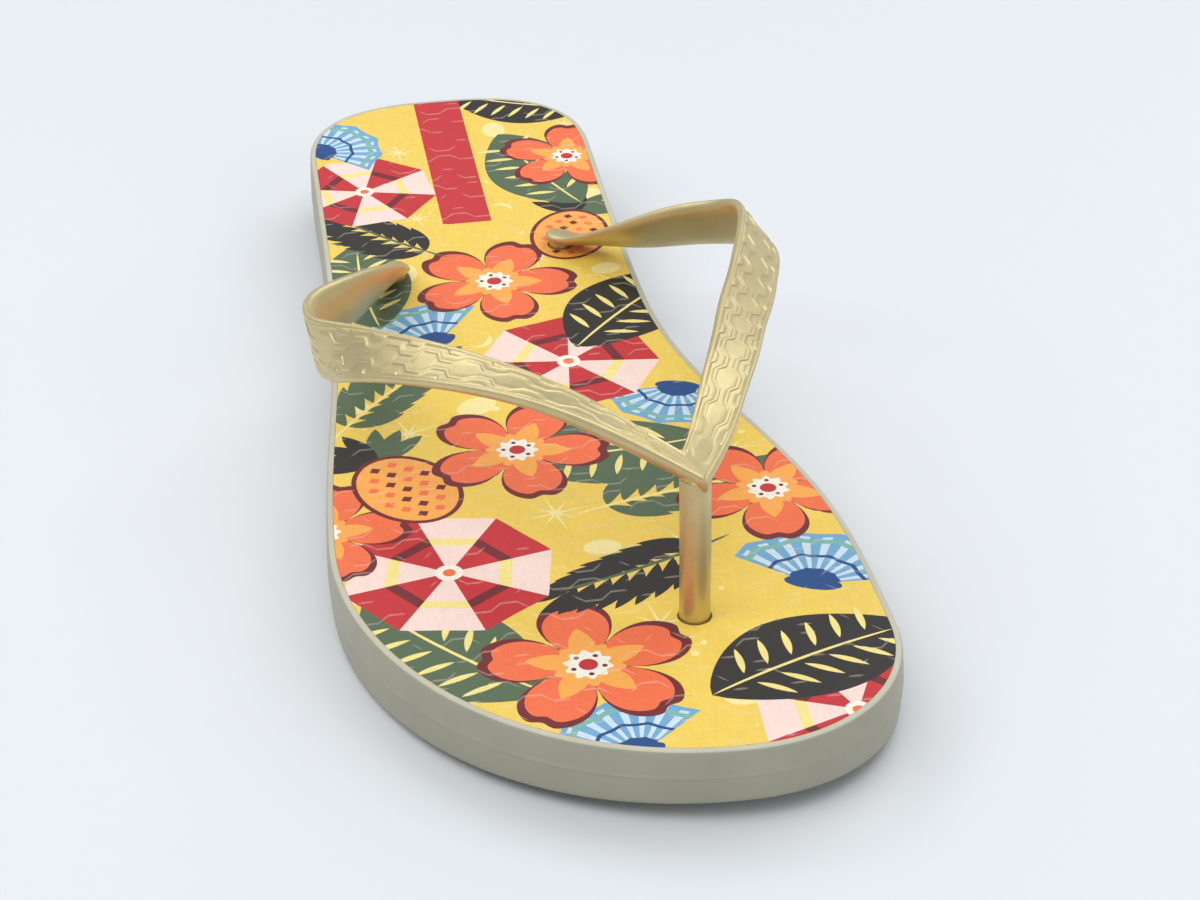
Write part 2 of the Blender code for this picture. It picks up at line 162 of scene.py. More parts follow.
# How finely the curves are cut into facets
SHARP_ANGLE = math.radians(40.0)
DENSE_POINTS = 1200
SECTION_SMOOTHINGS = 14
SIDE_STATIONS = 150
EDGE_STEPS = 6
RELIEF_STEP = 0.00036
PLAIN_STEP = 0.00110
TIP_STATIONS = 10
BACK_POINTS = 30
HOLE_STEPS = 64
SHEET_HOLE_STEPS = 48
WAVE_STEPS = 8.0
POST_STATIONS = 30

SOLE_ROWS = table(
    "along outer inner rise",
    (0.00, 1.035, 1.00, 0.00),
    (0.10, 1.035, 1.00, -0.06),
    (0.20, 1.035, 1.00, -0.08),
    (0.29, 1.025, 0.96, -0.07),
    (0.38, 0.99, 0.84, -0.04),
    (0.48, 0.93, 0.67, 0.04),
    (0.57, 0.885, 0.575, 0.14),
    (0.66, 0.86, 0.555, 0.26),
    (0.80, 0.845, 0.555, 0.52),
    (0.90, 0.84, 0.56, 0.74),
    (1.00, 0.84, 0.56, 1.00),
)

# One row for each section of an arm: run is the way from the toe post to the side hole, out the
# share of the bow, rise the share of the height over the footbed, tilt the lean in degrees
INNER_ARM_ROWS = table(
    "run out rise tilt",
    (0.07, 0.14, 0.88, 8),
    (0.165, 0.29, 0.92, 16),
    (0.265, 0.44, 0.92, 24),
    (0.365, 0.57, 0.88, 31),
    (0.465, 0.71, 0.82, 37),
    (0.56, 0.83, 0.77, 42),
    (0.645, 0.925, 0.72, 47),
    (0.72, 0.955, 0.655, 58),
    (0.78, 0.89, 0.545, 68),
    (0.84, 0.67, 0.415, 68),
    (0.91, 0.355, 0.215, 46),
    (0.96, 0.145, 0.108, 24),
    (1.00, 0.00, 0.056, 9),
    (1.02, -0.05, 0.054, 5),
)
OUTER_ARM_ROWS = table(
    "run out rise tilt",
    (0.07, 0.185, 0.95, -18),
    (0.165, 0.39, 1.01, -8),
    (0.27, 0.59, 0.99, 6),
    (0.375, 0.76, 0.905, 20),
    (0.475, 0.885, 0.78, 36),
    (0.565, 0.965, 0.645, 62),
    (0.64, 0.995, 0.555, 92),
    (0.715, 0.90, 0.515, 98),
    (0.775, 0.66, 0.445, 88),
    (0.84, 0.40, 0.335, 74),
    (0.91, 0.19, 0.200, 48),
    (0.96, 0.08, 0.106, 26),
    (1.00, 0.00, 0.056, 9),
    (1.02, -0.035, 0.054, 5),
)

WIDTH_ROWS = table(
    "along width thickness roundness",
    (0.00, 0.60, 1.36, 0.00),
    (0.10, 0.69, 1.30, 0.00),
    (0.22, 0.80, 1.16, 0.00),
    (0.36, 0.91, 1.05, 0.00),
    (0.50, 0.98, 1.00, 0.00),
    (0.66, 1.00, 1.00, 0.00),
    (0.80, 0.93, 1.00, 0.08),
    (0.90, 0.80, 1.00, 0.50),
    (0.96, 0.66, 1.00, 0.90),
    (1.00, 0.60, 1.00, 1.00),
)

# Half of the arm's section, from the middle of its outer face round to the middle of its back
SECTION_ROWS = table(
    "across up",
    (0.00, 0.84),
    (0.38, 0.83),
    (0.72, 0.80),
    (0.77, 0.90),
    (0.80, 0.99),
    (0.83, 0.90),
    (0.87, 0.95),
    (0.93, 0.93),
    (0.98, 0.78),
    (1.00, 0.50),
    (0.995, 0.15),
    (0.96, -0.18),
    (0.88, -0.46),
    (0.74, -0.72),
    (0.52, -0.90),
    (0.27, -0.98),
    (0.00, -1.00),
)

# Wall of the sole: share of its height, and how far it has swelled out, with the mould's line at
# half its height
WALL_ROWS = table(
    "up out",
    (0.12, 0.38),
    (0.28, 0.80),
    (0.42, 0.98),
    (0.490, 1.00),
    (0.500, 1.22),
    (0.510, 1.00),
    (0.60, 0.96),
    (0.76, 0.72),
    (0.90, 0.34),
)

# Grain of the printed sheet
THREAD_PITCH = 0.00055
THREAD_SHARE = 0.12

# Colours as screen values, and the foam's gloss
SOLE_COLOUR = (168, 165, 146)
# The rim's paler colour is a painted highlight on the sole's top edge, which faces up to the lamps
RIM_HIGHLIGHT_COLOUR = (193, 189, 169)
FOAM_GLOSS = (0.40, 0.54)
GOLD_COLOUR = (214, 199, 150)
FLOOR_COLOUR = (220, 224, 228)

# Soft studio light: lamps round the shoe, all aimed at the middle of its sole
LIGHT_ROWS = table(
    "name place size power colour",
    ("key", (0.60, 0.35, 1.00), (1.1, 0.9), 5.2, (1.0, 0.99, 0.97)),
    ("top", (-0.25, -0.45, 1.15), (1.1, 0.8), 5.6, (1.0, 0.99, 0.97)),
    ("fill", (0.75, -0.85, 0.60), (0.7, 0.5), 1.6, (0.98, 0.99, 1.0)),
    ("side", (-0.90, -0.10, 0.85), (0.60, 0.50), 2.6, (1.0, 0.99, 0.97)),
    ("back", (0.95, 0.95, 0.60), (1.0, 0.5), 1.6, (1.0, 0.99, 0.98)),
    ("far", (-0.42, 0.75, 0.80), (0.75, 0.40), 2.6, (1.0, 0.99, 0.98)),
)
WORLD_COLOUR = (0.90, 0.94, 1.0)
WORLD_STRENGTH = 0.40

# Camera of the photograph, worked out from the outlines of the pair
PHOTO_SIZE = (1200, 900)
CAMERA_PLACE = (-0.06047, -0.44405, 0.26309)
CAMERA_FORWARD = (0.22296, 0.83141, -0.50897)
CAMERA_RIGHT = (0.96990, -0.24165, 0.03014)
CAMERA_FOCAL_PIXELS = 2599.3
SENSOR_WIDTH = 36.0
CAMERA_CLIP = (0.01, 20.0)
SHOE_PIXEL = (370.0, 455.0)


def curve_through(places, values):
    """A natural cubic curve through the values at the places, as a function of one place or many."""
    x = np.array(places, dtype=float)
    y = np.array(values, dtype=float)
    step = np.diff(x)
    slope = np.diff(y, axis=0)
    slope = slope / (step if y.ndim == 1 else step[:, None])
    count = len(x)
    matrix = np.eye(count)
    right = np.zeros_like(y)
    for i in range(1, count - 1):
        matrix[i, i - 1:i + 2] = step[i - 1], 2.0 * (step[i - 1] + step[i]), step[i]
        right[i] = 6.0 * (slope[i] - slope[i - 1])
    bend = np.linalg.solve(matrix, right)

    def value(at):
        at = np.asarray(at, dtype=float)
        i = np.clip(np.searchsorted(x, at) - 1, 0, count - 2)
        a = x[i + 1] - at
        b = at - x[i]
        h = step[i]
        if y.ndim == 2:
            a, b, h = a[..., None], b[..., None], h[..., None]
        cubic = (bend[i] * a ** 3 + bend[i + 1] * b ** 3) / (6.0 * h)
        return cubic + (y[i] / h - bend[i] * h / 6.0) * a + (y[i + 1] / h - bend[i + 1] * h / 6.0) * b

    return value


def column(rows, name):
    """One named column of a table."""
    return [getattr(row, name) for row in rows]


def sole_curve(name):
    """A column of the sole's table as a smooth curve along the shoe."""
    return curve_through(column(SOLE_ROWS, "along"), column(SOLE_ROWS, name))


OUTER_EDGE = sole_curve("outer")
INNER_EDGE = sole_curve("inner")
TOP_RISE = sole_curve("rise")


def smooth(share):
    """Ease from 0 to 1."""
    share = np.clip(share, 0.0, 1.0)
    return share * share * (3.0 - 2.0 * share)


def rounding(distance, length, power):
    """How far a rounded end has opened at a distance from its tip, 0 to 1."""
    left = 1.0 - np.clip(distance / length, 0.0, 1.0)
    return (1.0 - left ** power) ** (1.0 / power)


def along_to_y(from_toe):
    """World Y of a place measured from the toe tip."""
    return from_toe - SOLE_LENGTH / 2.0


def sole_edge(along, side):
    """Plan point of the sole's edge at a share of its length."""
    from_toe = along * SOLE_LENGTH
    share = OUTER_EDGE(along) if side == OUTER else INNER_EDGE(along)
    toe_round = OUTER_TOE_ROUND if side == OUTER else INNER_TOE_ROUND
    toe_opening = rounding(from_toe, toe_round, TOE_SQUARENESS)
    heel_opening = rounding(SOLE_LENGTH - from_toe, HEEL_ROUND, HEEL_SQUARENESS)
    x = side * share * HALF_BALL_WIDTH
    x = TOE_TIP_OFFSET + (x - TOE_TIP_OFFSET) * toe_opening
    x = HEEL_TIP_OFFSET + (x - HEEL_TIP_OFFSET) * heel_opening
    return Vector((x, along_to_y(from_toe), 0.0))


def top_height(y):
    """Height of the footbed at world Y."""
    along = np.clip(np.asarray(y) / SOLE_LENGTH + 0.5, 0.0, 1.0)
    return FOREFOOT_HEIGHT + (HEEL_HEIGHT - FOREFOOT_HEIGHT) * TOP_RISE(along)


def bottom_height(y):
    """Height of the underside at world Y: flat, with the toe sprung up."""
    lift = max(0.0, 1.0 - (y + SOLE_LENGTH / 2.0) / TOE_SPRING_LENGTH)
    return TOE_SPRING * lift * lift


def sole_outline():
    """Plan points round the sole from the toe tip along the outer side and back, with normals."""
    shares = [0.5 - 0.5 * math.cos(math.pi * i / SIDE_STATIONS) for i in range(SIDE_STATIONS + 1)]
    points = [sole_edge(share, OUTER) for share in shares]
    points += [sole_edge(share, INNER) for share in reversed(shares[1:-1])]
    normals = []
    for i in range(len(points)):
        run = points[(i + 1) % len(points)] - points[i - 1]
        normals.append(Vector((-run.y, run.x, 0.0)).normalized())
    return points, normals


OUTLINE = sole_outline()


def sole_ring(inset, height):
    """The outline moved in by an inset, each point at its own height."""
    ring = []
    for point, normal in zip(*OUTLINE):
        place = point - normal * inset
        ring.append(Vector((place.x, place.y, height(place.y))))
    return ring


def from_bmesh(name, mesh_data):
    """An object from a bmesh, smooth between its sharp edges, with its faces pointing out."""
    bmesh.ops.recalc_face_normals(mesh_data, faces=mesh_data.faces)
    mesh = bpy.data.meshes.new(name)
    mesh_data.to_mesh(mesh)
    mesh_data.free()
    mesh.shade_smooth()
    mesh.set_sharp_from_angle(angle=SHARP_ANGLE)
    item = bpy.data.objects.new(name, mesh)
    bpy.context.collection.objects.link(item)
    return item


def bridge(mesh_data, first, second, slot=0):
    """Join two rings of as many vertices with quads."""
    for i in range(len(first)):
        j = (i + 1) % len(first)
        mesh_data.faces.new((first[i], first[j], second[j], second[i])).material_index = slot


def fill_outline(mesh_data, ring):
    """Fill a sole ring with strips across the shoe, from its outer to its inner side."""
    count = len(ring)
    for i in range(SIDE_STATIONS):
        corners = []
        for corner in (ring[i], ring[i + 1], ring[(count - i - 1) % count], ring[(count - i) % count]):
            if corner not in corners:
                corners.append(corner)
        mesh_data.faces.new(corners)


def full_turn(steps):
    """Angles spread evenly round a circle."""
    return [2.0 * math.pi * i / steps for i in range(steps)]


def circle(centre, radius, height, steps=HOLE_STEPS, seam=0.0):
    """Points of a level circle, with a mould's thin seam on both sides where it has one."""
    points = []
    for turn in full_turn(steps):
        near_seam = sum(math.exp(-(math.cos(turn) - side) ** 2 / SEAM_SPREAD) for side in (1.0, -1.0))
        reach = radius + seam * near_seam
        points.append(Vector((centre.x + reach * math.cos(turn), centre.y + reach * math.sin(turn), height)))
    return points


def skin(mesh_data, rings):
    """A closed skin through a list of rings."""
    loops = [[mesh_data.verts.new(point) for point in ring] for ring in rings]
    for first, second in zip(loops, loops[1:]):
        bridge(mesh_data, first, second)
    mesh_data.faces.new(loops[0])
    mesh_data.faces.new(loops[-1])


def tube(name, rings):
    """A closed solid through a list of rings."""
    mesh_data = bmesh.new()
    skin(mesh_data, rings)
    return from_bmesh(name, mesh_data)


def combine(item, tools, operation, solver="EXACT"):
    """Cut other forms from an object, or join them on, and drop them."""
    for tool in tools:
        step = item.modifiers.new(tool.name, "BOOLEAN")
        step.operation = operation
        step.solver = solver
        step.object = tool
    bpy.context.view_layer.update()
    shown = item.evaluated_get(bpy.context.evaluated_depsgraph_get())
    mesh = bpy.data.meshes.new_from_object(shown)
    item.modifiers.clear()
    item.data = mesh
    for tool in tools:
        bpy.data.objects.remove(tool, do_unlink=True)


def hole_centres():
    """Plan places of the three strap holes: toe, inner side and outer side."""
    return {
        "toe": Vector((TOE_HOLE_OFFSET, along_to_y(TOE_HOLE_FROM_TOE), 0.0)),
        "inner": Vector((INNER_HOLE_OFFSET, along_to_y(INNER_HOLE_FROM_TOE), 0.0)),
        "outer": Vector((OUTER_HOLE_OFFSET, along_to_y(OUTER_HOLE_FROM_TOE), 0.0)),
    }


def hole_radius(name):
    """A strap hole is its shank's radius and a gap."""
    return (POST_RADIUS if name == "toe" else NECK_RADIUS) + HOLE_GAP


# Sole

def wall_height(y, share):
    """Height on the wall at a share of the way from its foot to its top."""
    low = bottom_height(y) + BOTTOM_EDGE_ROUND
    high = top_height(y) - TOP_EDGE_ROUND
    return low + (high - low) * share


def wall_rings():
    """The sole's wall from its underside, round the edges, to the rim round the insole."""
    turns = [0.5 * math.pi * step / EDGE_STEPS for step in range(EDGE_STEPS + 1)]
    rings = []
    for turn in turns:
        inset = WALL_BULGE + BOTTOM_EDGE_ROUND * (1.0 - math.sin(turn))
        lift = BOTTOM_EDGE_ROUND * (1.0 - math.cos(turn))
        rings.append(sole_ring(inset, lambda y, lift=lift: bottom_height(y) + lift))
    for row in WALL_ROWS:
        inset = WALL_BULGE * (1.0 - row.out)
        rings.append(sole_ring(inset, lambda y, share=row.up: wall_height(y, share)))
    for turn in turns:
        inset = WALL_BULGE + TOP_EDGE_ROUND * (1.0 - math.cos(turn))
        drop = TOP_EDGE_ROUND * (1.0 - math.sin(turn))
        rings.append(sole_ring(inset, lambda y, drop=drop: top_height(y) - drop))
    return rings


def groove_bars():
    """Bars that cut the main grooves of the tread."""
    mesh_data = bmesh.new()
    for from_toe in groove_places(0.0):
        left, right = groove_ends(from_toe)
        corners = bmesh.ops.create_cube(mesh_data, size=1.0)["verts"]
        bmesh.ops.scale(mesh_data, verts=corners, vec=(right - left, GROOVE_WIDTH, 2.0 * GROOVE_DEPTH))
        middle = (0.5 * (left + right), along_to_y(from_toe), 0.0)
        bmesh.ops.translate(mesh_data, verts=corners, vec=middle)
    return from_bmesh("groove_bars", mesh_data)


def groove_places(shift):
    """Distances from the toe tip of the tread's grooves."""
    places = []
    for start, end in (BALL_FIELD, HEEL_FIELD):
        for step in range(round((end - start) / GROOVE_PITCH) + 1):
            place = start + (step + shift) * GROOVE_PITCH
            if place < end:
                places.append(place)
    return places


def groove_ends(from_toe):
    """Where a groove starts and ends across the shoe."""
    along = from_toe / SOLE_LENGTH
    return sole_edge(along, OUTER).x + GROOVE_MARGIN, sole_edge(along, INNER).x - GROOVE_MARGIN


def fine_groove_bars():
    """Wavy bars that cut the fine grooves between the main ones."""
    mesh_data = bmesh.new()
    half = 0.5 * FINE_GROOVE_WIDTH
    depth = FINE_GROOVE_DEPTH
    for shift in (1.0 / 3.0, 2.0 / 3.0):
        for from_toe in groove_places(shift):
            left, right = groove_ends(from_toe)
            steps = int((right - left) / (FINE_GROOVE_WAVE / WAVE_STEPS))
            rings = []
            for step in range(steps + 1):
                x = left + (right - left) * step / steps
                wave = math.sin(2.0 * math.pi * (x - left) / FINE_GROOVE_WAVE)
                y = along_to_y(from_toe) + FINE_GROOVE_SWING * wave
                corners = ((y - half, -depth), (y + half, -depth), (y + half, depth), (y - half, depth))
                rings.append([(x, place, height) for place, height in corners])
            skin(mesh_data, rings)
    return from_bmesh("fine_groove_bars", mesh_data)


def make_sole():
    """The moulded sole with its pocket, strap holes, plug recesses and tread."""
    rings = wall_rings()
    # Faces from the upper half of the top edge inwards take the paler rim colour, a painted highlight
    rim_highlight_start = len(rings) - 1 - EDGE_STEPS // 2
    rings.append(sole_ring(POCKET_INSET, top_height))
    rings.append(sole_ring(POCKET_INSET, lambda y: top_height(y) - INSOLE_THICKNESS - FIT_GAP))
    mesh_data = bmesh.new()
    loops = [[mesh_data.verts.new(point) for point in ring] for ring in rings]
    for i, (lower, upper) in enumerate(zip(loops, loops[1:])):
        bridge(mesh_data, lower, upper, 1 if i >= rim_highlight_start else 0)
    fill_outline(mesh_data, loops[0])
    fill_outline(mesh_data, loops[-1])
    bmesh.ops.triangulate(mesh_data, faces=mesh_data.faces)
    sole = from_bmesh("foam_sole", mesh_data)
    # The second, paler material paints a highlight on the rim
    for name, colour in (("sole_foam", SOLE_COLOUR), ("sole_rim_highlight", RIM_HIGHLIGHT_COLOUR)):
        sole.data.materials.append(foam_material(name, colour))
    tools = [groove_bars(), fine_groove_bars()]
    for name, centre in hole_centres().items():
        radius = hole_radius(name)
        ends = [circle(centre, radius, height) for height in (-HEEL_HEIGHT, 2.0 * HEEL_HEIGHT)]
        tools.append(tube("hole_" + name, ends))
        recess = PLUG_RADIUS + PLUG_GAP
        roof = bottom_height(centre.y) + PLUG_RECESS
        ends = [circle(centre, recess, height) for height in (-HEEL_HEIGHT, roof)]
        tools.append(tube("recess_" + name, ends))
    combine(sole, tools, "DIFFERENCE")
    return sole


# Insole print. Each motif is drawn at a size of about 1 round its middle.

def polar(radius_at, turns):
    """Points whose radius follows a function of the turn."""
    return [(radius_at(turn) * math.cos(turn), radius_at(turn) * math.sin(turn)) for turn in turns]


def radial(radius_at, steps):
    """A closed outline whose radius follows a function of the turn."""
    return polar(radius_at, full_turn(steps))


def sector(rim, start, span, low, high, steps=10):
    """A piece of a fan, between two shares of its rim."""
    turns = [start + span * k / steps for k in range(steps + 1)]
    outer = polar(lambda turn: high * rim(turn), turns)
    if low == 0.0:
        return [(0.0, 0.0)] + outer
    return outer + polar(lambda turn: low * rim(turn), turns[::-1])


def oval(width, height, steps=40):
    """An oval of half sizes."""
    return [(width * math.cos(turn), height * math.sin(turn)) for turn in full_turn(steps)]


def moved(points, x=0.0, y=0.0, turn=0.0, scale=1.0):
    """An outline scaled, turned and moved."""
    c = math.cos(math.radians(turn)) * scale
    s = math.sin(math.radians(turn)) * scale
    return [(px * c - py * s + x, px * s + py * c + y) for px, py in points]


def blade(length, width, bend=0.0, steps=14, fullness=0.8):
    """A pointed leaf from the origin along +Y, bent sideways."""
    def side(sign):
        points = []
        for i in range(steps + 1):
            t = i / steps
            half = width * math.sin(math.pi * t) ** fullness
            points.append((bend * t * t + sign * half, length * t))
        return points
    right = side(1.0)
    left = side(-1.0)
    return right + left[-2:0:-1]


def bloom():
    """A hibiscus: five notched petals with an outline, a throat and a ring of seeds."""
    def petals(size, depth, notch):
        def radius(turn):
            petal = abs(math.cos(2.5 * turn)) ** 0.55
            place = turn * 5.0 / (2.0 * math.pi)
            dent = 1.0 - notch * math.exp(-(((place % 1.0) - 0.5) / 0.09) ** 2)
            middle = 1.0 - notch * math.exp(-((((place + 0.5) % 1.0) - 0.5) / 0.07) ** 2)
            return size * (1.0 - depth + depth * petal) * min(dent, 1.0) * middle
        return radial(radius, 150)
    shapes = [("maroon", petals(1.0, 0.62, 0.07)), ("coral", petals(0.90, 0.64, 0.07))]
    for i in range(5):
        shapes.append(("orange", moved(blade(0.56, 0.12, 0.0, 12), turn=72.0 * i - 90.0)))
    shapes.append(("orange", radial(lambda turn: 0.30 + 0.035 * math.cos(10.0 * turn), 80)))
    shapes.append(("cream", radial(lambda turn: 0.20 + 0.025 * math.cos(10.0 * turn), 60)))
    shapes.append(("red", oval(0.085, 0.085, 24)))
    for i in range(5):
        turn = math.radians(72.0 * i + 36.0)
        seed = oval(0.025, 0.025, 10)
        shapes.append(("maroon", moved(seed, 0.145 * math.cos(turn), 0.145 * math.sin(turn))))
    return shapes


def parasol():
    """A striped beach parasol seen from above: eight panels with a scalloped edge."""
    def rim(turn):
        return 1.0 - 0.075 * abs(math.sin(4.0 * turn))
    shapes = [("blush", radial(rim, 160))]
    panel = 0.25 * math.pi
    for i in range(4):
        shapes.append(("red", sector(rim, i * 0.5 * math.pi, panel, 0.0, 1.0, 20)))
    for i in range(8):
        shapes.append(("straw" if i % 2 else "maroon", sector(rim, i * panel, panel, 0.50, 0.62)))
    shapes.append(("cream", oval(0.13, 0.13, 28)))
    shapes.append(("coral", oval(0.06, 0.06, 18)))
    return shapes


def scallop_shell():
    """A scallop shell: a ribbed fan in blues and white over a small hinge."""
    start = math.radians(20.0)
    span = math.radians(160.0) - start

    def rim(angle):
        return 1.0 - 0.06 * abs(math.sin(4.5 * (angle - start) / math.radians(140.0) * math.pi))
    shapes = [("navy", moved(oval(0.30, 0.12, 24), 0.0, 0.02))]
    shapes.append(("sky", sector(rim, start, span, 0.0, 1.0, 60)))
    for i in range(9):
        first, last = [start + span * (i + share) / 9.0 for share in (0.28, 0.72)]
        shapes.append(("mist", sector(rim, first, last - first, 0.22, 0.93)))
    shapes.append(("teal", sector(rim, start, span, 0.80, 0.88, 50)))
    shapes.append(("navy", sector(rim, start, span, 0.0, 0.30, 30)))
    shapes.append(("navy", sector(rim, start, span, 0.52, 0.57, 40)))
    return [(ink, moved(points, 0.0, -0.45)) for ink, points in shapes]


def palm_frond(ink, vein):
    """A palm frond: pairs of leaflets along a bent stem."""
    shapes = []
    for i in range(9):
        t = 0.14 + 0.095 * i
        x = 0.22 * t * t
        y = -0.9 + 1.75 * t
        length = 0.72 * (1.0 - 0.55 * abs(t - 0.45))
        spread = 62.0 - 34.0 * t
        for sign in (-1.0, 1.0):
            leaf = moved(blade(length, 0.085, -0.16 * sign, 10), x, y, -sign * spread)
            shapes.append((ink, leaf))
    shapes.append((ink, moved(blade(0.55, 0.09), 0.2, 0.72, -14.0)))
    shapes.append((vein, moved(blade(1.85, 0.022, 0.24, 16, 0.3), 0.0, -1.0)))
    return shapes


def banana_leaf(ink, slit):
    """A broad leaf with pale slits between its veins."""
    shapes = [(ink, moved(blade(2.0, 0.58, 0.25, 30, 0.75), 0.0, -1.0))]
    for i in range(6):
        t = 0.2 + 0.12 * i
        x = 0.25 * t * t
        for sign in (-1.0, 1.0):
            gap = blade(0.36, 0.032, 0.03 * sign, 8)
            shapes.append((slit, moved(gap, x + sign * 0.08, -1.0 + 2.0 * t, -sign * 58.0)))
    shapes.append((slit, moved(blade(1.8, 0.016, 0.22, 16, 0.3), 0.0, -1.0)))
    return shapes


def pineapple():
    """A pineapple: an oval body with a lattice, under a crown of blades."""
    shapes = []
    for i, spread in enumerate((-66, 66, -44, 44, -22, 22, 0)):
        leaf = blade(0.66, 0.10, 0.05 if spread > 0 else -0.05, 10)
        shapes.append(("leaf" if i % 2 else "black", moved(leaf, 0.0, 0.28, -spread)))
    for ink, width, height in (("maroon", 0.50, 0.66), ("orange", 0.45, 0.61)):
        shapes.append((ink, moved(oval(width, height, 50), 0.0, -0.28)))
    for row in range(-3, 4):
        for place in range(-2, 3):
            x = 0.19 * place + (0.095 if row % 2 else 0.0)
            y = -0.28 + 0.155 * row
            if (x / 0.37) ** 2 + ((y + 0.28) / 0.53) ** 2 < 1.0:
                diamond = [(0.062, 0.0), (0.0, 0.056), (-0.062, 0.0), (0.0, -0.056)]
                shapes.append(("coral" if (row + place) % 2 else "maroon", moved(diamond, x, y)))
    return shapes


def burst(points, inner, outer):
    """A star of thin rays."""
    corners = []
    for i in range(2 * points):
        turn = math.pi * i / points
        radius = inner if i % 2 else outer * (1.0 if i % 4 == 0 else 0.72)
        corners.append((radius * math.cos(turn), radius * math.sin(turn)))
    return corners


def crescent():
    """A thin moon."""
    turns = [math.radians(-90.0 + 180.0 * i / 24) for i in range(25)]
    outer = [(math.cos(t), math.sin(t)) for t in turns]
    inner = [(0.55 * math.cos(t), math.sin(t)) for t in reversed(turns[1:-1])]
    return outer + inner


MOTIFS = {
    "bloom": bloom,
    "parasol": parasol,
    "shell": scallop_shell,
    "green_frond": lambda: palm_frond("leaf", "straw"),
    "black_frond": lambda: palm_frond("black", "leaf"),
    "green_leaf": lambda: banana_leaf("leaf", "straw"),
    "black_leaf": lambda: banana_leaf("black", "straw"),
    "pineapple": pineapple,
}

# Where the motifs of the print lie: shares of the sole's length and of half the ball's width
# from the middle line, size in millimetres and turn in degrees
PRINT_ROWS = table(
    "kind along across size turn",
    ("parasol", 0.030, 0.72, 17, 20),
    ("shell", 0.035, -0.12, 15, 20),
    ("black_leaf", 0.100, 0.62, 20, -62),
    ("green_leaf", 0.140, -0.66, 21, 48),
    ("bloom", 0.112, -0.16, 19, 20),
    ("shell", 0.205, 0.82, 17, -24),
    ("black_frond", 0.215, 0.16, 19, 118),
    ("parasol", 0.238, -0.58, 19, 12),
    ("green_frond", 0.320, 0.36, 20, -72),
    ("bloom", 0.305, 0.74, 18, 48),
    ("bloom", 0.305, -1.04, 17, 0),
    ("green_leaf", 0.372, 0.16, 20, 100),
    ("pineapple", 0.372, -0.72, 19, 24),
    ("bloom", 0.392, -0.20, 18, -10),
    ("shell", 0.438, 0.50, 15, 162),
    ("green_frond", 0.490, -0.72, 19, -34),
    ("parasol", 0.515, 0.12, 18, -8),
    ("black_leaf", 0.598, 0.44, 20, -38),
    ("shell", 0.585, -0.52, 17, 36),
    ("bloom", 0.655, -0.10, 18, 62),
    ("green_leaf", 0.665, -0.72, 18, 10),
    ("pineapple", 0.742, 0.34, 17, -18),
    ("black_frond", 0.745, -0.58, 18, 52),
    ("parasol", 0.832, -0.60, 16, 30),
    ("green_leaf", 0.845, 0.22, 19, 28),
    ("bloom", 0.868, 0.42, 16, 8),
    ("shell", 0.925, -0.66, 15, -64),
    ("black_leaf", 0.975, 0.24, 17, 76),
)

# Pale marks of the ground
PALE_MOTIFS = {"burst": burst(8, 0.13, 1.0), "moon": crescent(), "oval": oval(1.0, 0.72, 36)}
PALE_ROWS = table(
    "kind along across size turn",
    ("oval", 0.060, 0.36, 4.0, 10),
    ("burst", 0.150, 0.14, 7.0, 8),
    ("oval", 0.175, -0.16, 4.6, 70),
    ("moon", 0.190, -0.80, 3.0, 40),
    ("burst", 0.245, 0.34, 6.0, 30),
    ("oval", 0.250, 0.02, 3.4, 0),
    ("moon", 0.225, 0.60, 2.8, 200),
    ("burst", 0.300, -0.12, 6.5, 12),
    ("oval", 0.290, -0.60, 4.4, 20),
    ("burst", 0.365, 0.66, 6.2, 0),
    ("oval", 0.350, 0.12, 4.8, 100),
    ("moon", 0.395, 0.40, 2.6, 120),
    ("burst", 0.430, -0.62, 6.4, 20),
    ("oval", 0.460, -0.32, 4.2, 30),
    ("burst", 0.480, 0.24, 5.2, 10),
    ("oval", 0.475, -0.84, 3.6, 0),
    ("moon", 0.560, -0.24, 2.8, 320),
    ("burst", 0.575, -0.50, 5.6, 25),
    ("oval", 0.560, 0.46, 3.4, 60),
    ("burst", 0.690, 0.12, 5.8, 0),
    ("oval", 0.680, -0.50, 4.0, 80),
    ("oval", 0.660, 0.42, 3.2, 10),
    ("moon", 0.780, 0.02, 2.6, 60),
    ("burst", 0.775, -0.38, 5.0, 15),
    ("oval", 0.795, 0.46, 3.4, 0),
    ("burst", 0.900, -0.40, 5.4, 5),
    ("oval", 0.880, -0.74, 3.2, 45),
    ("oval", 0.930, 0.10, 3.6, 90),
    ("burst", 0.930, 0.46, 5.0, 35),
)

# Plain label on the heel, from the toe tip, and from the middle line
LABEL_START = 0.1915
LABEL_END = 0.2600
LABEL_OUTER = -0.0122
LABEL_INNER = -0.0016

# Inks of the print as screen colours
INKS = {
    "ground": (236, 203, 90),
    "pale": (241, 225, 156),
    "red": (194, 44, 50),
    "maroon": (112, 33, 40),
    "coral": (238, 112, 70),
    "orange": (244, 168, 78),
    "cream": (241, 237, 222),
    "blush": (243, 216, 206),
    "straw": (240, 222, 136),
    "teal": (122, 178, 166),
    "sky": (110, 166, 204),
    "mist": (200, 220, 232),
    "navy": (24, 72, 132),
    "leaf": (84, 104, 78),
    "black": (42, 39, 36),
    "label": (196, 48, 54),
}

# Thin embossed lines of the footbed, in millimetres, and the shares of a wave where they bend
LINE_PITCH = 4.6
LINE_SWING = 1.05
LINE_WAVE = 9.6
LINE_HALF_WIDTH = 0.30
LINE_HEIGHT = 0.13
LINE_TAPER = 0.9
LINE_KEPT = 0.56
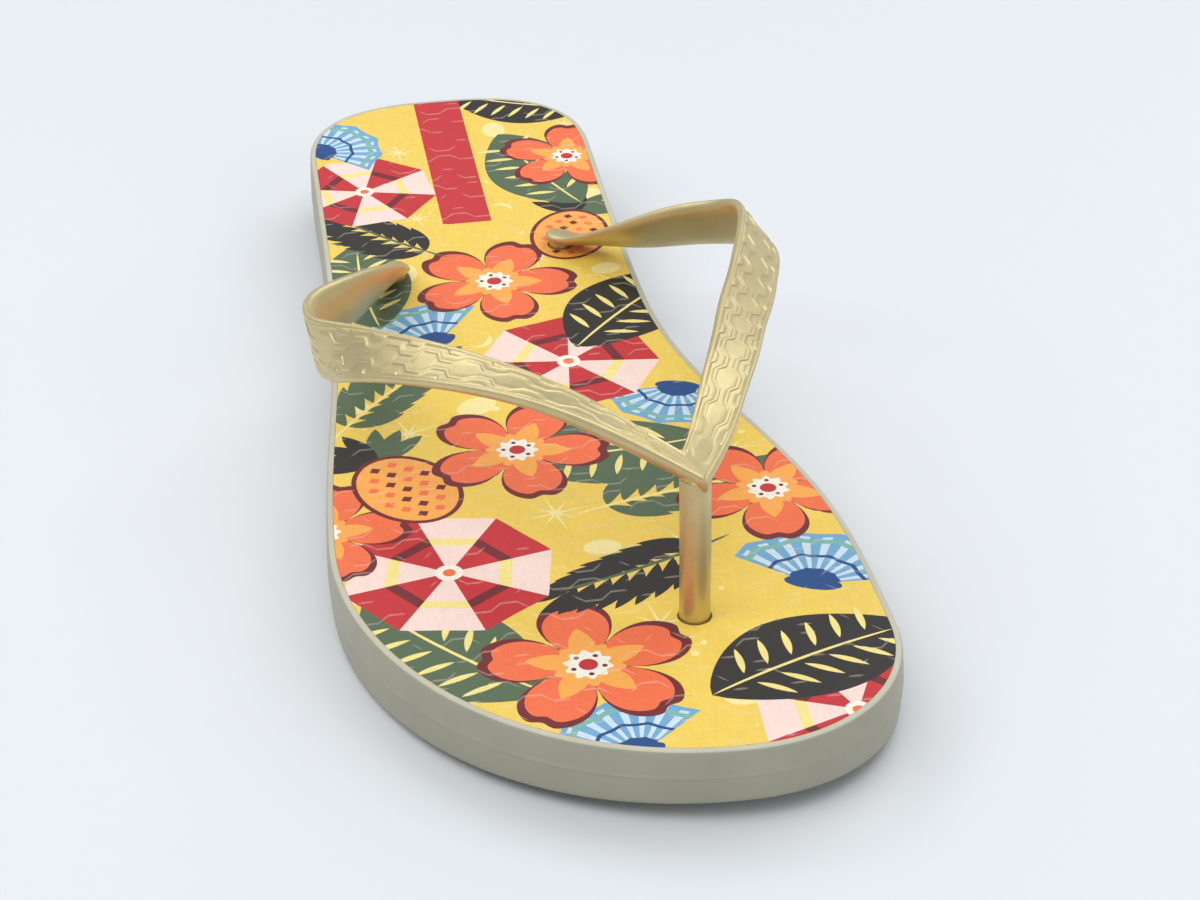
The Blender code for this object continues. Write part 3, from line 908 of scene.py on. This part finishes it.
# Paleness of the embossed lines' crests: partly wear, partly a painted sheen where the crests catch the
# light
LINE_WEAR_AND_SHEEN = 0.26
LINE_WEAR_AND_SHEEN_TINT = (0.90, 0.84, 0.70, 1.0)
CORNER_SHARES = (0.0, 0.30, 0.50, 0.80)
WAVES_FROM_MIDDLE = 6
LINE_SEED = 5

# Specks strewn over the ground, in millimetres
SPECK_COUNT = 90
SPECK_SEED = 11
SPECK_REACH = (44.0, 124.0)

# Level lines that let the flat print follow the footbed's rise, in millimetres
RISE_PITCH = 4.0
RISE_SHIFT = 0.37

# Points of the print and of the sheet's edge that lie this near are joined, in millimetres
PRINT_MERGE = 1e-4
EDGE_MERGE = 1e-6


def screen_colour(colour):
    """A screen colour as linear light."""
    linear = []
    for value in colour:
        share = value / 255.0
        linear.append(share / 12.92 if share <= 0.04045 else ((share + 0.055) / 1.055) ** 2.4)
    return (*linear, 1.0)


def counter_clockwise(points):
    """The outline with its area on the left."""
    area = sum(a[0] * b[1] - b[0] * a[1] for a, b in zip(points, points[1:] + points[:1]))
    return points if area > 0.0 else points[::-1]


def place_of(row):
    """Plan place of a motif in millimetres."""
    return row.across * HALF_BALL_WIDTH / MM, along_to_y(row.along * SOLE_LENGTH) / MM


def print_shapes():
    """The inked outlines of the print in millimetres, from the ground up."""
    shapes = []
    for row in PALE_ROWS:
        x, y = place_of(row)
        shapes.append(("pale", moved(PALE_MOTIFS[row.kind], x, y, row.turn, row.size)))
    draw = random.Random(SPECK_SEED)
    for _ in range(SPECK_COUNT):
        x, y = [draw.uniform(-reach, reach) for reach in SPECK_REACH]
        size = draw.uniform(0.35, 0.95)
        outline = oval(1.0, 1.0, 12) if draw.random() < 0.6 else burst(4, 0.35, 1.6)
        shapes.append(("pale", moved(outline, x, y, draw.uniform(0.0, 90.0), size)))
    for row in PRINT_ROWS:
        x, y = place_of(row)
        for ink, points in MOTIFS[row.kind]():
            shapes.append((ink, moved(points, x, y, row.turn, row.size)))
    low, high = along_to_y(LABEL_START) / MM, along_to_y(LABEL_END) / MM
    left, right = LABEL_OUTER / MM, LABEL_INNER / MM
    shapes.append(("label", [(left, low), (right, low), (right, high), (left, high)]))
    return [(ink, counter_clockwise(points)) for ink, points in shapes]


def line_swing(x, row):
    """Sideways place of an embossed line: flats joined by slopes, mirrored on each second row."""
    share = (x / LINE_WAVE) % 1.0
    _, high_end, low_start, low_end = CORNER_SHARES
    if share < high_end:
        place = 1.0
    elif share < low_start:
        place = 1.0 - 2.0 * (share - high_end) / (low_start - high_end)
    elif share < low_end:
        place = -1.0
    else:
        place = -1.0 + 2.0 * (share - low_end) / (1.0 - low_end)
    return LINE_SWING * place * (1.0 if row % 2 else -1.0)


def line_runs():
    """Stretches of each embossed line that stand up from the print."""
    draw = random.Random(LINE_SEED)
    runs = {}
    waves = range(-WAVES_FROM_MIDDLE, WAVES_FROM_MIDDLE + 1)
    corner_places = [(wave + share) * LINE_WAVE for wave in waves for share in CORNER_SHARES]
    rows = int(0.5 * SOLE_LENGTH / MM / LINE_PITCH)
    for row in range(-rows, rows + 1):
        stretches = []
        for start, end in zip(corner_places, corner_places[1:]):
            if draw.random() > LINE_KEPT:
                continue
            if stretches and stretches[-1][-1] == start:
                stretches[-1].append(end)
            else:
                stretches.append([start, end])
        runs[row] = stretches
    return runs


LINE_RUNS = line_runs()


def line_lift(x, y):
    """How far the embossed lines raise the print at a place, in millimetres."""
    near = round(y / LINE_PITCH)
    lift = 0.0
    for row in (near - 1, near, near + 1):
        across = 1.0 - abs(y - row * LINE_PITCH - line_swing(x, row)) / LINE_HALF_WIDTH
        if across <= 0.0:
            continue
        for run in LINE_RUNS.get(row, ()):
            if run[0] < x < run[-1]:
                taper = min(x - run[0], run[-1] - x, LINE_TAPER) / LINE_TAPER
                lift = max(lift, LINE_HEIGHT * across * taper)
    return lift


def line_outlines():
    """Foot and crest lines of the embossing, as open runs of plan points in millimetres."""
    chains = []
    for row, stretches in LINE_RUNS.items():
        for run in stretches:
            places = [run[0], run[0] + LINE_TAPER] + run[1:-1] + [run[-1] - LINE_TAPER, run[-1]]
            crest = [(x, row * LINE_PITCH + line_swing(x, row)) for x in places]
            chains.append(crest)
            for side in (-LINE_HALF_WIDTH, LINE_HALF_WIDTH):
                chains.append([crest[0]] + [(x, y + side) for x, y in crest[1:-1]] + [crest[-1]])
    return chains


def plane_cuts():
    """The print as flat triangles in millimetres, each with its ink."""
    ring = sole_ring(POCKET_INSET + INSOLE_EDGE_GAP, lambda y: 0.0)
    outline = counter_clockwise([(point.x / MM, point.y / MM) for point in ring])
    holes = [[(p.x / MM, p.y / MM) for p in circle(centre, hole_radius(name), 0.0, SHEET_HOLE_STEPS)]
             for name, centre in hole_centres().items()]
    shapes = print_shapes()
    points = []
    faces = []
    edges = []
    for ring in [outline] + holes + [shape for _, shape in shapes]:
        start = len(points)
        points += [Vector(point) for point in ring]
        faces.append(list(range(start, len(points))))
    for chain in line_outlines() + cross_lines():
        start = len(points)
        points += [Vector(point) for point in chain]
        edges += [(i, i + 1) for i in range(start, len(points) - 1)]
    cut = geometry.delaunay_2d_cdt(points, edges, faces, 0, PRINT_MERGE, True)
    verts, _, triangles, _, _, owners = cut
    first_shape = 1 + len(holes)
    hole_ids = set(range(1, first_shape))
    kept = []
    for triangle, owner in zip(triangles, owners):
        if 0 not in owner or hole_ids & set(owner):
            continue
        top = max(owner)
        kept.append((triangle, shapes[top - first_shape][0] if top >= first_shape else "ground"))
    return verts, kept


def cross_lines():
    """Level lines across the shoe that let the print follow the footbed's rise."""
    half = 1.1 * HALF_BALL_WIDTH / MM
    reach = 0.5 * SOLE_LENGTH / MM
    heights = [-reach + RISE_PITCH * i + RISE_SHIFT for i in range(int(2.0 * reach / RISE_PITCH) + 1)]
    return [[(-half, y), (half, y)] for y in heights]


def border_loops(border):
    """The border's edges joined head to tail into closed loops."""
    following = dict(border)
    loops = []
    while following:
        start, at = following.popitem()
        loop = [start]
        while at != start:
            loop.append(at)
            at = following.pop(at)
        loops.append(loop)
    return loops


def paint(mesh, inks):
    """Colour the sheet with its inks, paler on the embossed lines for wear and a painted sheen, and its edge
    and back plain.
    """
    layer = mesh.color_attributes.new(name="ink", type="FLOAT_COLOR", domain="CORNER")
    colours = {ink: screen_colour(colour) for ink, colour in INKS.items()}
    values = []
    for i, polygon in enumerate(mesh.polygons):
        ink, wear_and_sheen = "ground", 0.0
        if i < len(inks):
            x, y, _ = polygon.center
            ink = inks[i]
            # The crests are painted paler: partly wear, partly a painted sheen
            wear_and_sheen = LINE_WEAR_AND_SHEEN * min(line_lift(x / MM, y / MM) / LINE_HEIGHT, 1.0) ** 0.5
        colour = [value + (pale - value) * wear_and_sheen for value, pale in zip(colours[ink], LINE_WEAR_AND_SHEEN_TINT)]
        values += colour * polygon.loop_total
    layer.data.foreach_set("color", values)


def make_insole():
    """The printed sheet: one surface with its inks, embossed lines, edge and back."""
    verts, kept = plane_cuts()
    used = sorted({i for triangle, _ in kept for i in triangle})
    index = {old: new for new, old in enumerate(used)}
    top = []
    for old in used:
        x, y = verts[old]
        height = float(top_height(y * MM)) + line_lift(x, y) * MM
        top.append((x * MM, y * MM, height))
    faces = [tuple(index[i] for i in triangle) for triangle, _ in kept]
    inks = [ink for _, ink in kept]
    sides = dict.fromkeys(pair for face in faces for pair in zip(face, face[1:] + face[:1]))
    border = [(a, b) for a, b in sides if (b, a) not in sides]
    edge_points = sorted({a for a, _ in border})
    low = [(top[i][0], top[i][1], float(top_height(top[i][1])) - INSOLE_THICKNESS) for i in edge_points]
    flat = {old: new for new, old in enumerate(edge_points)}
    walls = [(b, a, len(top) + flat[a], len(top) + flat[b]) for a, b in border]
    plan = [Vector((top[i][0] / MM, top[i][1] / MM)) for i in edge_points]
    loops = [[flat[i] for i in loop] for loop in border_loops(border)]
    loops = sorted(loops, key=len, reverse=True)
    outlines = [loops[0]] + [loop[::-1] for loop in loops[1:]]
    _, _, back, _, _, owners = geometry.delaunay_2d_cdt(plan, [], outlines, 0, EDGE_MERGE, True)
    backs = [tuple(len(top) + i for i in triangle[::-1])
             for triangle, owner in zip(back, owners) if list(owner) == [0]]
    mesh = bpy.data.meshes.new("insole_sheet")
    mesh.from_pydata(top + low, [], faces + walls + backs)
    mesh.validate()
    paint(mesh, inks)
    insole = bpy.data.objects.new("printed_insole", mesh)
    bpy.context.collection.objects.link(insole)
    mesh.materials.append(print_material())
    return insole


# Strap

def dense_section():
    """The strap's section as a smoothed closed run: places across, up, and up on a round bar."""
    aspect = STRAP_THICKNESS / STRAP_WIDTH
    half = [(row.across, row.up) for row in SECTION_ROWS]
    ring = np.array(half + [(-x, z) for x, z in reversed(half[1:-1])])
    closed = np.vstack([ring, ring[:1]])
    lengths = np.hypot(np.diff(closed[:, 0]), aspect * np.diff(closed[:, 1]))
    places = np.concatenate([[0.0], np.cumsum(lengths)])
    fine = np.linspace(0.0, places[-1], DENSE_POINTS, endpoint=False)
    dense = np.stack([np.interp(fine, places, closed[:, 0]), np.interp(fine, places, closed[:, 1])], axis=1)
    for _ in range(SECTION_SMOOTHINGS):
        dense = 0.25 * np.roll(dense, 1, axis=0) + 0.5 * dense + 0.25 * np.roll(dense, -1, axis=0)
    dense[:, 0] /= dense[:, 0].max()
    widest = int(np.argmax(dense[:, 0]))
    index = np.arange(DENSE_POINTS)
    upper = np.where((index <= widest) | (index >= DENSE_POINTS - widest), 1.0, -1.0)
    bar = upper * np.sqrt(np.clip(1.0 - dense[:, 0] ** 2, 0.0, 1.0))
    return np.column_stack([dense, bar])


DENSE = dense_section()
FACE_HALF = int(np.argmax(DENSE[:, 0] > FACE_END))


def back_points():
    """The edges and back of the section, from its inner to its outer side."""
    picks = np.linspace(FACE_HALF, DENSE_POINTS - FACE_HALF, BACK_POINTS + 2)[1:-1]
    low = np.floor(picks).astype(int)
    share = (picks - low)[:, None]
    return DENSE[low] * (1.0 - share) + DENSE[low + 1] * share


BACK = back_points()


def unit(vectors):
    """Each vector at a length of 1."""
    return vectors / np.linalg.norm(vectors, axis=-1, keepdims=True)


def level(direction):
    """A direction with its slope removed."""
    return Vector((direction[0], direction[1], 0.0)).normalized()


def arm_route(start, hole, rows, side):
    """Centre curve of an arm from the junction past its hole, and the places of its rows."""
    base = level(hole - start) * Vector((hole.x - start.x, hole.y - start.y)).length
    out = Vector((base.y, -base.x, 0.0)).normalized() * side
    points = [start]
    for row in rows:
        plan = Vector((start.x, start.y, 0.0)) + base * row.run + out * (row.out * STRAP_BOW)
        points.append(plan + UP * (float(top_height(plan.y)) + row.rise * STRAP_RISE))
    lengths = [0.0]
    for a, b in zip(points, points[1:]):
        lengths.append(lengths[-1] + (b - a).length)
    places = [length / lengths[-1] for length in lengths]
    return curve_through(places, [tuple(point) for point in points]), places, lengths[-1]


def arm_stations(length):
    """Shares of an arm's length for its rings: fine along the relief, closer round its tip."""
    band_end = 1.0 - TIP_ROUND / length
    fine = np.arange(RELIEF_STEP, RELIEF_END_SHARE * length, RELIEF_STEP) / length
    plain_count = int((band_end - RELIEF_END_SHARE) * length / PLAIN_STEP)
    plain = np.linspace(RELIEF_END_SHARE, band_end, plain_count)
    turns = TIP_CLOSED * np.arange(1, TIP_STATIONS + 1) / TIP_STATIONS
    return np.concatenate([fine, plain, band_end + (1.0 - band_end) * np.sin(turns)])


def ramp(share, start, span):
    """A straight slope from 0 to 1 with slightly eased ends."""
    straight = np.clip((share - start) / span, 0.0, 1.0)
    return 0.6 * straight + 0.4 * smooth(straight)


def cell_share(u):
    """How far a place lies from the middle of its cell, 1 halfway to the next cell."""
    return np.abs(((u / CELL_PITCH) % 1.0) - 0.5) * 2.0


def face_columns(u, half_width):
    """Places across one half of the outer face, and the relief on each, at ways along an arm."""
    share = cell_share(u)
    swing = 1.0 - 2.0 * ramp(share, CELL_FLAT, CELL_SLOPE)
    bump = ramp(share, RIM_BUMP_FLAT - RIM_BUMP_SLOPE, RIM_BUMP_SLOPE)
    edge = np.minimum(BAND_EDGE / half_width, BAND_EDGE_MOST)
    inside = CELL_LINE + CELL_SWING * swing
    outside = inside + BAND_WIDTH
    rim = RIM_LINE - RIM_BUMP * bump
    crown = CELL_CROWN / BAND_HEIGHT * smooth((swing - CROWN_START) / CROWN_SPAN)
    raised = smooth(RIM_BUMP_RISE * bump)
    columns = [(0.0, crown), (0.5 * (inside - edge), crown)]
    columns += [(inside + reach * edge, crown + (1.0 - crown) * lift) for reach, lift in EDGE_PROFILE]
    columns.append((0.5 * (inside + outside), 1.0))
    columns += [(outside - reach * edge, lift) for reach, lift in reversed(EDGE_PROFILE)]
    columns.append((0.5 * (outside + rim), 0.0))
    columns += [(rim + reach * edge, raised * lift) for reach, lift in EDGE_PROFILE]
    columns += [(RIM_FOOT, raised), (0.5 * (RIM_FOOT + RIM_TOP), 0.5 * raised), (RIM_TOP, 0.0)]
    columns += [(place, 0.0) for place in RIM_PLACES]
    level_u = np.ones_like(u)
    places = np.stack([place * level_u for place, _ in columns], axis=1)
    heights = np.stack([height * level_u for _, height in columns], axis=1)
    return places, heights * BAND_HEIGHT


def sections(u, half_width):
    """The sections of an arm at ways along it: across, up, up on a round bar, and relief."""
    half, relief = face_columns(u, half_width)
    face = [np.interp(half, DENSE[:FACE_HALF + 1, 0], DENSE[:FACE_HALF + 1, i]) for i in (1, 2)]
    back = np.ones(len(u))[:, None, None] * BACK[None]
    across = np.concatenate([-half[:, :0:-1], half, back[:, :, 0]], axis=1)
    up, bar = [np.concatenate([face[i][:, :0:-1], face[i], back[:, :, 1 + i]], axis=1) for i in (0, 1)]
    raised = np.concatenate([relief[:, :0:-1], relief, np.zeros(back.shape[:2])], axis=1)
    return across, up, bar, raised


def arm_rings(start, hole, rows, side, mitre):
    """Rings of one arm, from just past the junction to its rounded tip over the hole."""
    route, places, length = arm_route(start, hole, rows, side)
    at = arm_stations(length)
    centre = route(at)
    heading = unit(route(at + TANGENT_STEP) - route(at - TANGENT_STEP))
    tilt = np.radians(curve_through(places, [rows[0].tilt] + column(rows, "tilt"))(at))[:, None]
    up = np.array(UP)
    flat = unit(np.cross(up, heading)) * side
    raised = np.cross(heading, unit(np.cross(up, heading)))
    square = flat * np.cos(tilt) + raised * np.sin(tilt)
    mitred = 1.0 - smooth(at * length / MITRE_LENGTH)[:, None]
    inner = unit(square * (1.0 - mitred) + np.array(mitre) * mitred)
    normal = unit(np.cross(inner, heading)) * -side
    normal = unit(normal * (1.0 - mitred) + up * mitred)
    lean = np.sum(inner * heading, axis=1, keepdims=True)
    open_width = np.linalg.norm(inner - heading * lean, axis=1)
    shares = {name: curve_through(column(WIDTH_ROWS, "along"), column(WIDTH_ROWS, name))(at)
              for name in ("width", "thickness", "roundness")}
    tip = rounding((1.0 - at) * length, TIP_ROUND, 2.0)
    half_width = 0.5 * STRAP_WIDTH * shares["width"] / open_width * tip
    half_thick = 0.5 * STRAP_THICKNESS * shares["thickness"] * (TIP_EDGE + (1.0 - TIP_EDGE) * tip)
    way = at * length
    across, rise, bar, relief = sections(way, half_width)
    round_share = np.clip(shares["roundness"], 0.0, 1.0)[:, None]
    rise = rise * (1.0 - round_share) + bar * round_share
    fade = smooth((way - RELIEF_START) / RELIEF_START_FADE)
    fade = fade * (1.0 - smooth((at - RELIEF_END_SHARE + RELIEF_END_LEAD) / RELIEF_END_FADE))
    lift = rise * half_thick[:, None] + relief * fade[:, None]
    return (centre[:, None] + inner[:, None] * (across * half_width[:, None])[:, :, None]
            + normal[:, None] * lift[:, :, None])


def shank_rings(hole, radius, top, bow=0.0):
    """Rings of a round shank from inside the strap down to the plug at its foot."""
    plug_top = bottom_height(hole.y) + PLUG_RECESS - FIT_GAP
    bed = float(top_height(hole.y))
    rings = []
    for i in range(POST_STATIONS + 1):
        height = top + (bed - top) * i / POST_STATIONS
        share = (top - height) / (top - bed)
        centre = hole + Vector((0.0, -bow * math.sin(math.pi * share), 0.0))
        rings.append(circle(centre, radius, height, seam=POST_SEAM))
    rings.append(circle(hole, radius, plug_top + SHANK_FOOT, seam=POST_SEAM))
    plug_foot = plug_top - PLUG_THICKNESS
    for height, inset in ((plug_top, PLUG_TOP_EDGE), (plug_top - PLUG_TOP_EDGE, 0.0),
                          (plug_foot + PLUG_FOOT_EDGE, 0.0), (plug_foot, PLUG_FOOT_EDGE)):
        rings.append(circle(hole, PLUG_RADIUS - inset, height))
    return rings


def make_strap():
    """The strap in one piece: two arms that meet in a mitre, and three shanks with plugs."""
    holes = hole_centres()
    toe = holes["toe"]
    junction = Vector((toe.x, toe.y + JUNCTION_SET_BACK, float(top_height(toe.y)) + JUNCTION_RISE))
    arms = ((holes["outer"], OUTER_ARM_ROWS, OUTER), (holes["inner"], INNER_ARM_ROWS, INNER))
    headings = []
    for hole, rows, side in arms:
        route, _, length = arm_route(junction, hole, rows, side)
        headings.append(level(Vector(route(0.5 * MITRE_LENGTH / length)) - junction))
    mitre = (headings[0] + headings[1]).normalized()
    half_width = 0.5 * JUNCTION_WIDTH / math.sin(0.5 * headings[0].angle(headings[1]))
    across, rise, _, _ = sections(np.zeros(1), np.array([half_width]))
    middle = (np.array(junction) + np.array(mitre) * (half_width * across[0][:, None])
              + np.array(UP) * (0.5 * JUNCTION_THICKNESS * rise[0][:, None]))
    outer, inner = [arm_rings(junction, hole, rows, side, mitre) for hole, rows, side in arms]
    rings = np.concatenate([outer[::-1], middle[None], inner])
    count, points = rings.shape[:2]
    grid = np.arange(count * points).reshape(count, points)
    beside = np.roll(grid, -1, axis=1)
    quads = np.stack([grid[:-1], beside[:-1], beside[1:], grid[1:]], axis=-1).reshape(-1, 4)
    faces = quads.tolist() + [grid[0][::-1].tolist(), grid[-1].tolist()]
    mesh = bpy.data.meshes.new("strap_band")
    mesh.from_pydata(rings.reshape(-1, 3).tolist(), [], faces)
    mesh_data = bmesh.new()
    mesh_data.from_mesh(mesh)
    strap = from_bmesh("moulded_strap", mesh_data)
    strap.data.materials.append(gold_material())
    tools = [tube("toe_post", shank_rings(toe, POST_RADIUS, junction.z, POST_BOW))]
    for hole, rows, _ in arms:
        over_hole = [row.rise for row in rows if row.run == 1.0][0]
        neck_top = float(top_height(hole.y)) + over_hole * STRAP_RISE
        tools.append(tube("neck", shank_rings(hole, NECK_RADIUS, neck_top)))
    combine(strap, tools, "UNION", "MANIFOLD")
    return strap


# Materials

class Look:
    """A material with its shader, and ways to add nodes to it."""

    def __init__(self, name):
        self.material = bpy.data.materials.new(name)
        self.material.use_nodes = True
        self.tree = self.material.node_tree

    def give(self, node, **settings):
        """Set a node's inputs and settings; an output given for an input is linked to it."""
        for key, value in settings.items():
            name = key.replace("_", " ")
            if name not in node.inputs:
                setattr(node, key, value)
            elif isinstance(value, bpy.types.NodeSocket):
                self.tree.links.new(value, node.inputs[name])
            else:
                node.inputs[name].default_value = value

    def add(self, kind, output, **settings):
        """One output of a new node."""
        node = self.tree.nodes.new("ShaderNode" + kind)
        self.give(node, **settings)
        return node.outputs[output]

    def maths(self, operation, *values):
        """A sum, product or sine of outputs and numbers."""
        node = self.tree.nodes.new("ShaderNodeMath")
        node.operation = operation
        for socket, value in zip(node.inputs, values):
            if isinstance(value, float):
                socket.default_value = value
            else:
                self.tree.links.new(value, socket)
        return node.outputs["Value"]

    def shades(self, source, colour, *steps):
        """Two shades of a screen colour, each a place on the ramp and a share of the colour."""
        node = self.tree.nodes.new("ShaderNodeValToRGB")
        for element, (position, share) in zip(node.color_ramp.elements, steps):
            element.position = position
            element.color = [share * value for value in screen_colour(colour)[:3]] + [1.0]
        self.tree.links.new(source, node.inputs["Fac"])
        return node.outputs["Color"]

    def shade(self, **settings):
        """Give the shader its inputs and return the finished material."""
        self.give(self.tree.nodes["Principled BSDF"], **settings)
        return self.material


def foam_material(name, colour):
    """Satin moulded foam: faint mottling and the fine skin of a mould."""
    look = Look(name)
    place = look.add("TexCoord", "Object")
    cloud = look.add("TexNoise", "Fac", Vector=place, Scale=55.0, Detail=4.0, Roughness=0.6)
    skin_grain = look.add("TexNoise", "Fac", Vector=place, Scale=2600.0, Detail=3.0, Roughness=0.6)
    pores = look.add("TexVoronoi", "Distance", Vector=place, Scale=1100.0)
    gloss = look.add("MapRange", "Result", Value=skin_grain, To_Min=FOAM_GLOSS[0], To_Max=FOAM_GLOSS[1])
    fine = look.add("Bump", "Normal", Height=skin_grain, Strength=0.10, Distance=0.00010)
    pitted = look.add("Bump", "Normal", Height=pores, Normal=fine, Strength=0.06, Distance=0.00012)
    mottled = look.shades(cloud, colour, (0.30, 0.92), (0.72, 1.05))
    return look.shade(Base_Color=mottled, Roughness=gloss, Normal=pitted, Specular_IOR_Level=0.42)


def print_material():
    """Printed sheet: inks on a fine woven grain."""
    look = Look("insole_print")
    place = look.add("TexCoord", "Object")
    threads = []
    for axis, stretch in (("X", (1700.0, 260.0, 0.0)), ("Y", (260.0, 1700.0, 0.0))):
        stretched = look.add("Mapping", "Vector", Vector=place, Scale=stretch)
        noise = look.add("TexNoise", "Fac", Vector=stretched, Scale=1.0, Detail=2.0, Roughness=0.5)
        across = look.add("SeparateXYZ", axis, Vector=place)
        thread = look.maths("SINE", look.maths("MULTIPLY", across, 2.0 * math.pi / THREAD_PITCH))
        threads.append(look.maths("MULTIPLY_ADD", thread, THREAD_SHARE, noise))
    weave = look.maths("ADD", *threads)
    wear = look.add("TexNoise", "Fac", Vector=place, Scale=60.0, Detail=5.0, Roughness=0.65)
    shade = look.add("MapRange", "Result", Value=weave, From_Min=0.75, From_Max=1.25,
                     To_Min=0.95, To_Max=1.04)
    mottle = look.add("MapRange", "Result", Value=wear, To_Min=0.96, To_Max=1.03)
    both = look.maths("MULTIPLY", shade, mottle)
    ink = look.add("Attribute", "Color", attribute_name="ink")
    tinted = look.add("VectorMath", "Vector", operation="SCALE", Vector=ink, Scale=both)
    bump = look.add("Bump", "Normal", Height=weave, Strength=0.12, Distance=0.00012)
    return look.shade(Base_Color=tinted, Normal=bump, Roughness=0.52, Specular_IOR_Level=0.38)


def gold_material():
    """Moulded soft plastic with champagne pearl: fine flakes and a slightly uneven skin."""
    look = Look("strap_gold")
    place = look.add("TexCoord", "Object")
    flakes = look.add("TexVoronoi", "Color", Vector=place, Scale=5200.0)
    cloud = look.add("TexNoise", "Fac", Vector=place, Scale=140.0, Detail=3.0, Roughness=0.5)
    uneven = look.add("TexNoise", "Fac", Vector=place, Scale=900.0, Detail=2.0, Roughness=0.5)
    mixed = look.maths("ADD", look.maths("MULTIPLY", flakes, 0.35), look.maths("MULTIPLY", cloud, 0.65))
    pearl = look.shades(mixed, GOLD_COLOUR, (0.25, 0.90), (0.75, 1.08))
    gloss = look.add("MapRange", "Result", Value=uneven, To_Min=0.38, To_Max=0.48)
    bump = look.add("Bump", "Normal", Height=uneven, Strength=0.05, Distance=0.0002)
    return look.shade(Base_Color=pearl, Roughness=gloss, Normal=bump, Metallic=0.84)


# Stage

def make_floor():
    """A plain pale floor."""
    mesh_data = bmesh.new()
    bmesh.ops.create_grid(mesh_data, x_segments=1, y_segments=1, size=3.0)
    floor = from_bmesh("floor", mesh_data)
    floor.data.materials.append(Look("floor").shade(Base_Color=screen_colour(FLOOR_COLOUR), Roughness=0.55))


def add_light(row):
    """A large soft lamp aimed at the shoe."""
    lamp = bpy.data.lights.new(row.name, "AREA")
    lamp.shape = "RECTANGLE"
    lamp.size, lamp.size_y = row.size
    lamp.energy = row.power
    lamp.color = row.colour
    item = bpy.data.objects.new(row.name, lamp)
    item.location = row.place
    item.rotation_euler = (-Vector(row.place)).to_track_quat("-Z", "Y").to_euler()
    bpy.context.collection.objects.link(item)


def make_lights():
    """Soft studio light: large lamps all round and a pale world."""
    for row in LIGHT_ROWS:
        add_light(row)
    world = bpy.data.worlds.new("studio")
    bpy.context.scene.world = world
    world.use_nodes = True
    background = world.node_tree.nodes["Background"]
    background.inputs["Color"].default_value = (*WORLD_COLOUR, 1.0)
    background.inputs["Strength"].default_value = WORLD_STRENGTH


def make_camera():
    """The photograph's viewpoint, turned so that the one shoe fills the frame."""
    seen = Vector(CAMERA_FORWARD)
    right = Vector(CAMERA_RIGHT)
    up = right.cross(seen)
    forward = (seen * CAMERA_FOCAL_PIXELS + right * (SHOE_PIXEL[0] - PHOTO_SIZE[0] / 2.0)
               - up * (SHOE_PIXEL[1] - PHOTO_SIZE[1] / 2.0)).normalized()
    right = (right - forward * right.dot(forward)).normalized()
    up = right.cross(forward)
    lens = bpy.data.cameras.new("camera")
    lens.sensor_width = SENSOR_WIDTH
    lens.lens = CAMERA_FOCAL_PIXELS / PHOTO_SIZE[0] * SENSOR_WIDTH
    lens.clip_start, lens.clip_end = CAMERA_CLIP
    camera = bpy.data.objects.new("camera", lens)
    turned = Matrix((right, up, -forward)).transposed().to_4x4()
    camera.matrix_world = Matrix.Translation(CAMERA_PLACE) @ turned
    bpy.context.collection.objects.link(camera)
    bpy.context.scene.camera = camera


bpy.context.scene.view_settings.view_transform = "Standard"
make_camera()
make_floor()
make_lights()
for piece, node, slot in ((make_sole(), "sole", "sole_foam"), (make_insole(), "insole", "insole_print"),
                          (make_strap(), "strap", "strap_gold")):
    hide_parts(node)
    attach(piece, "root")

bpy.context.view_layer.update()
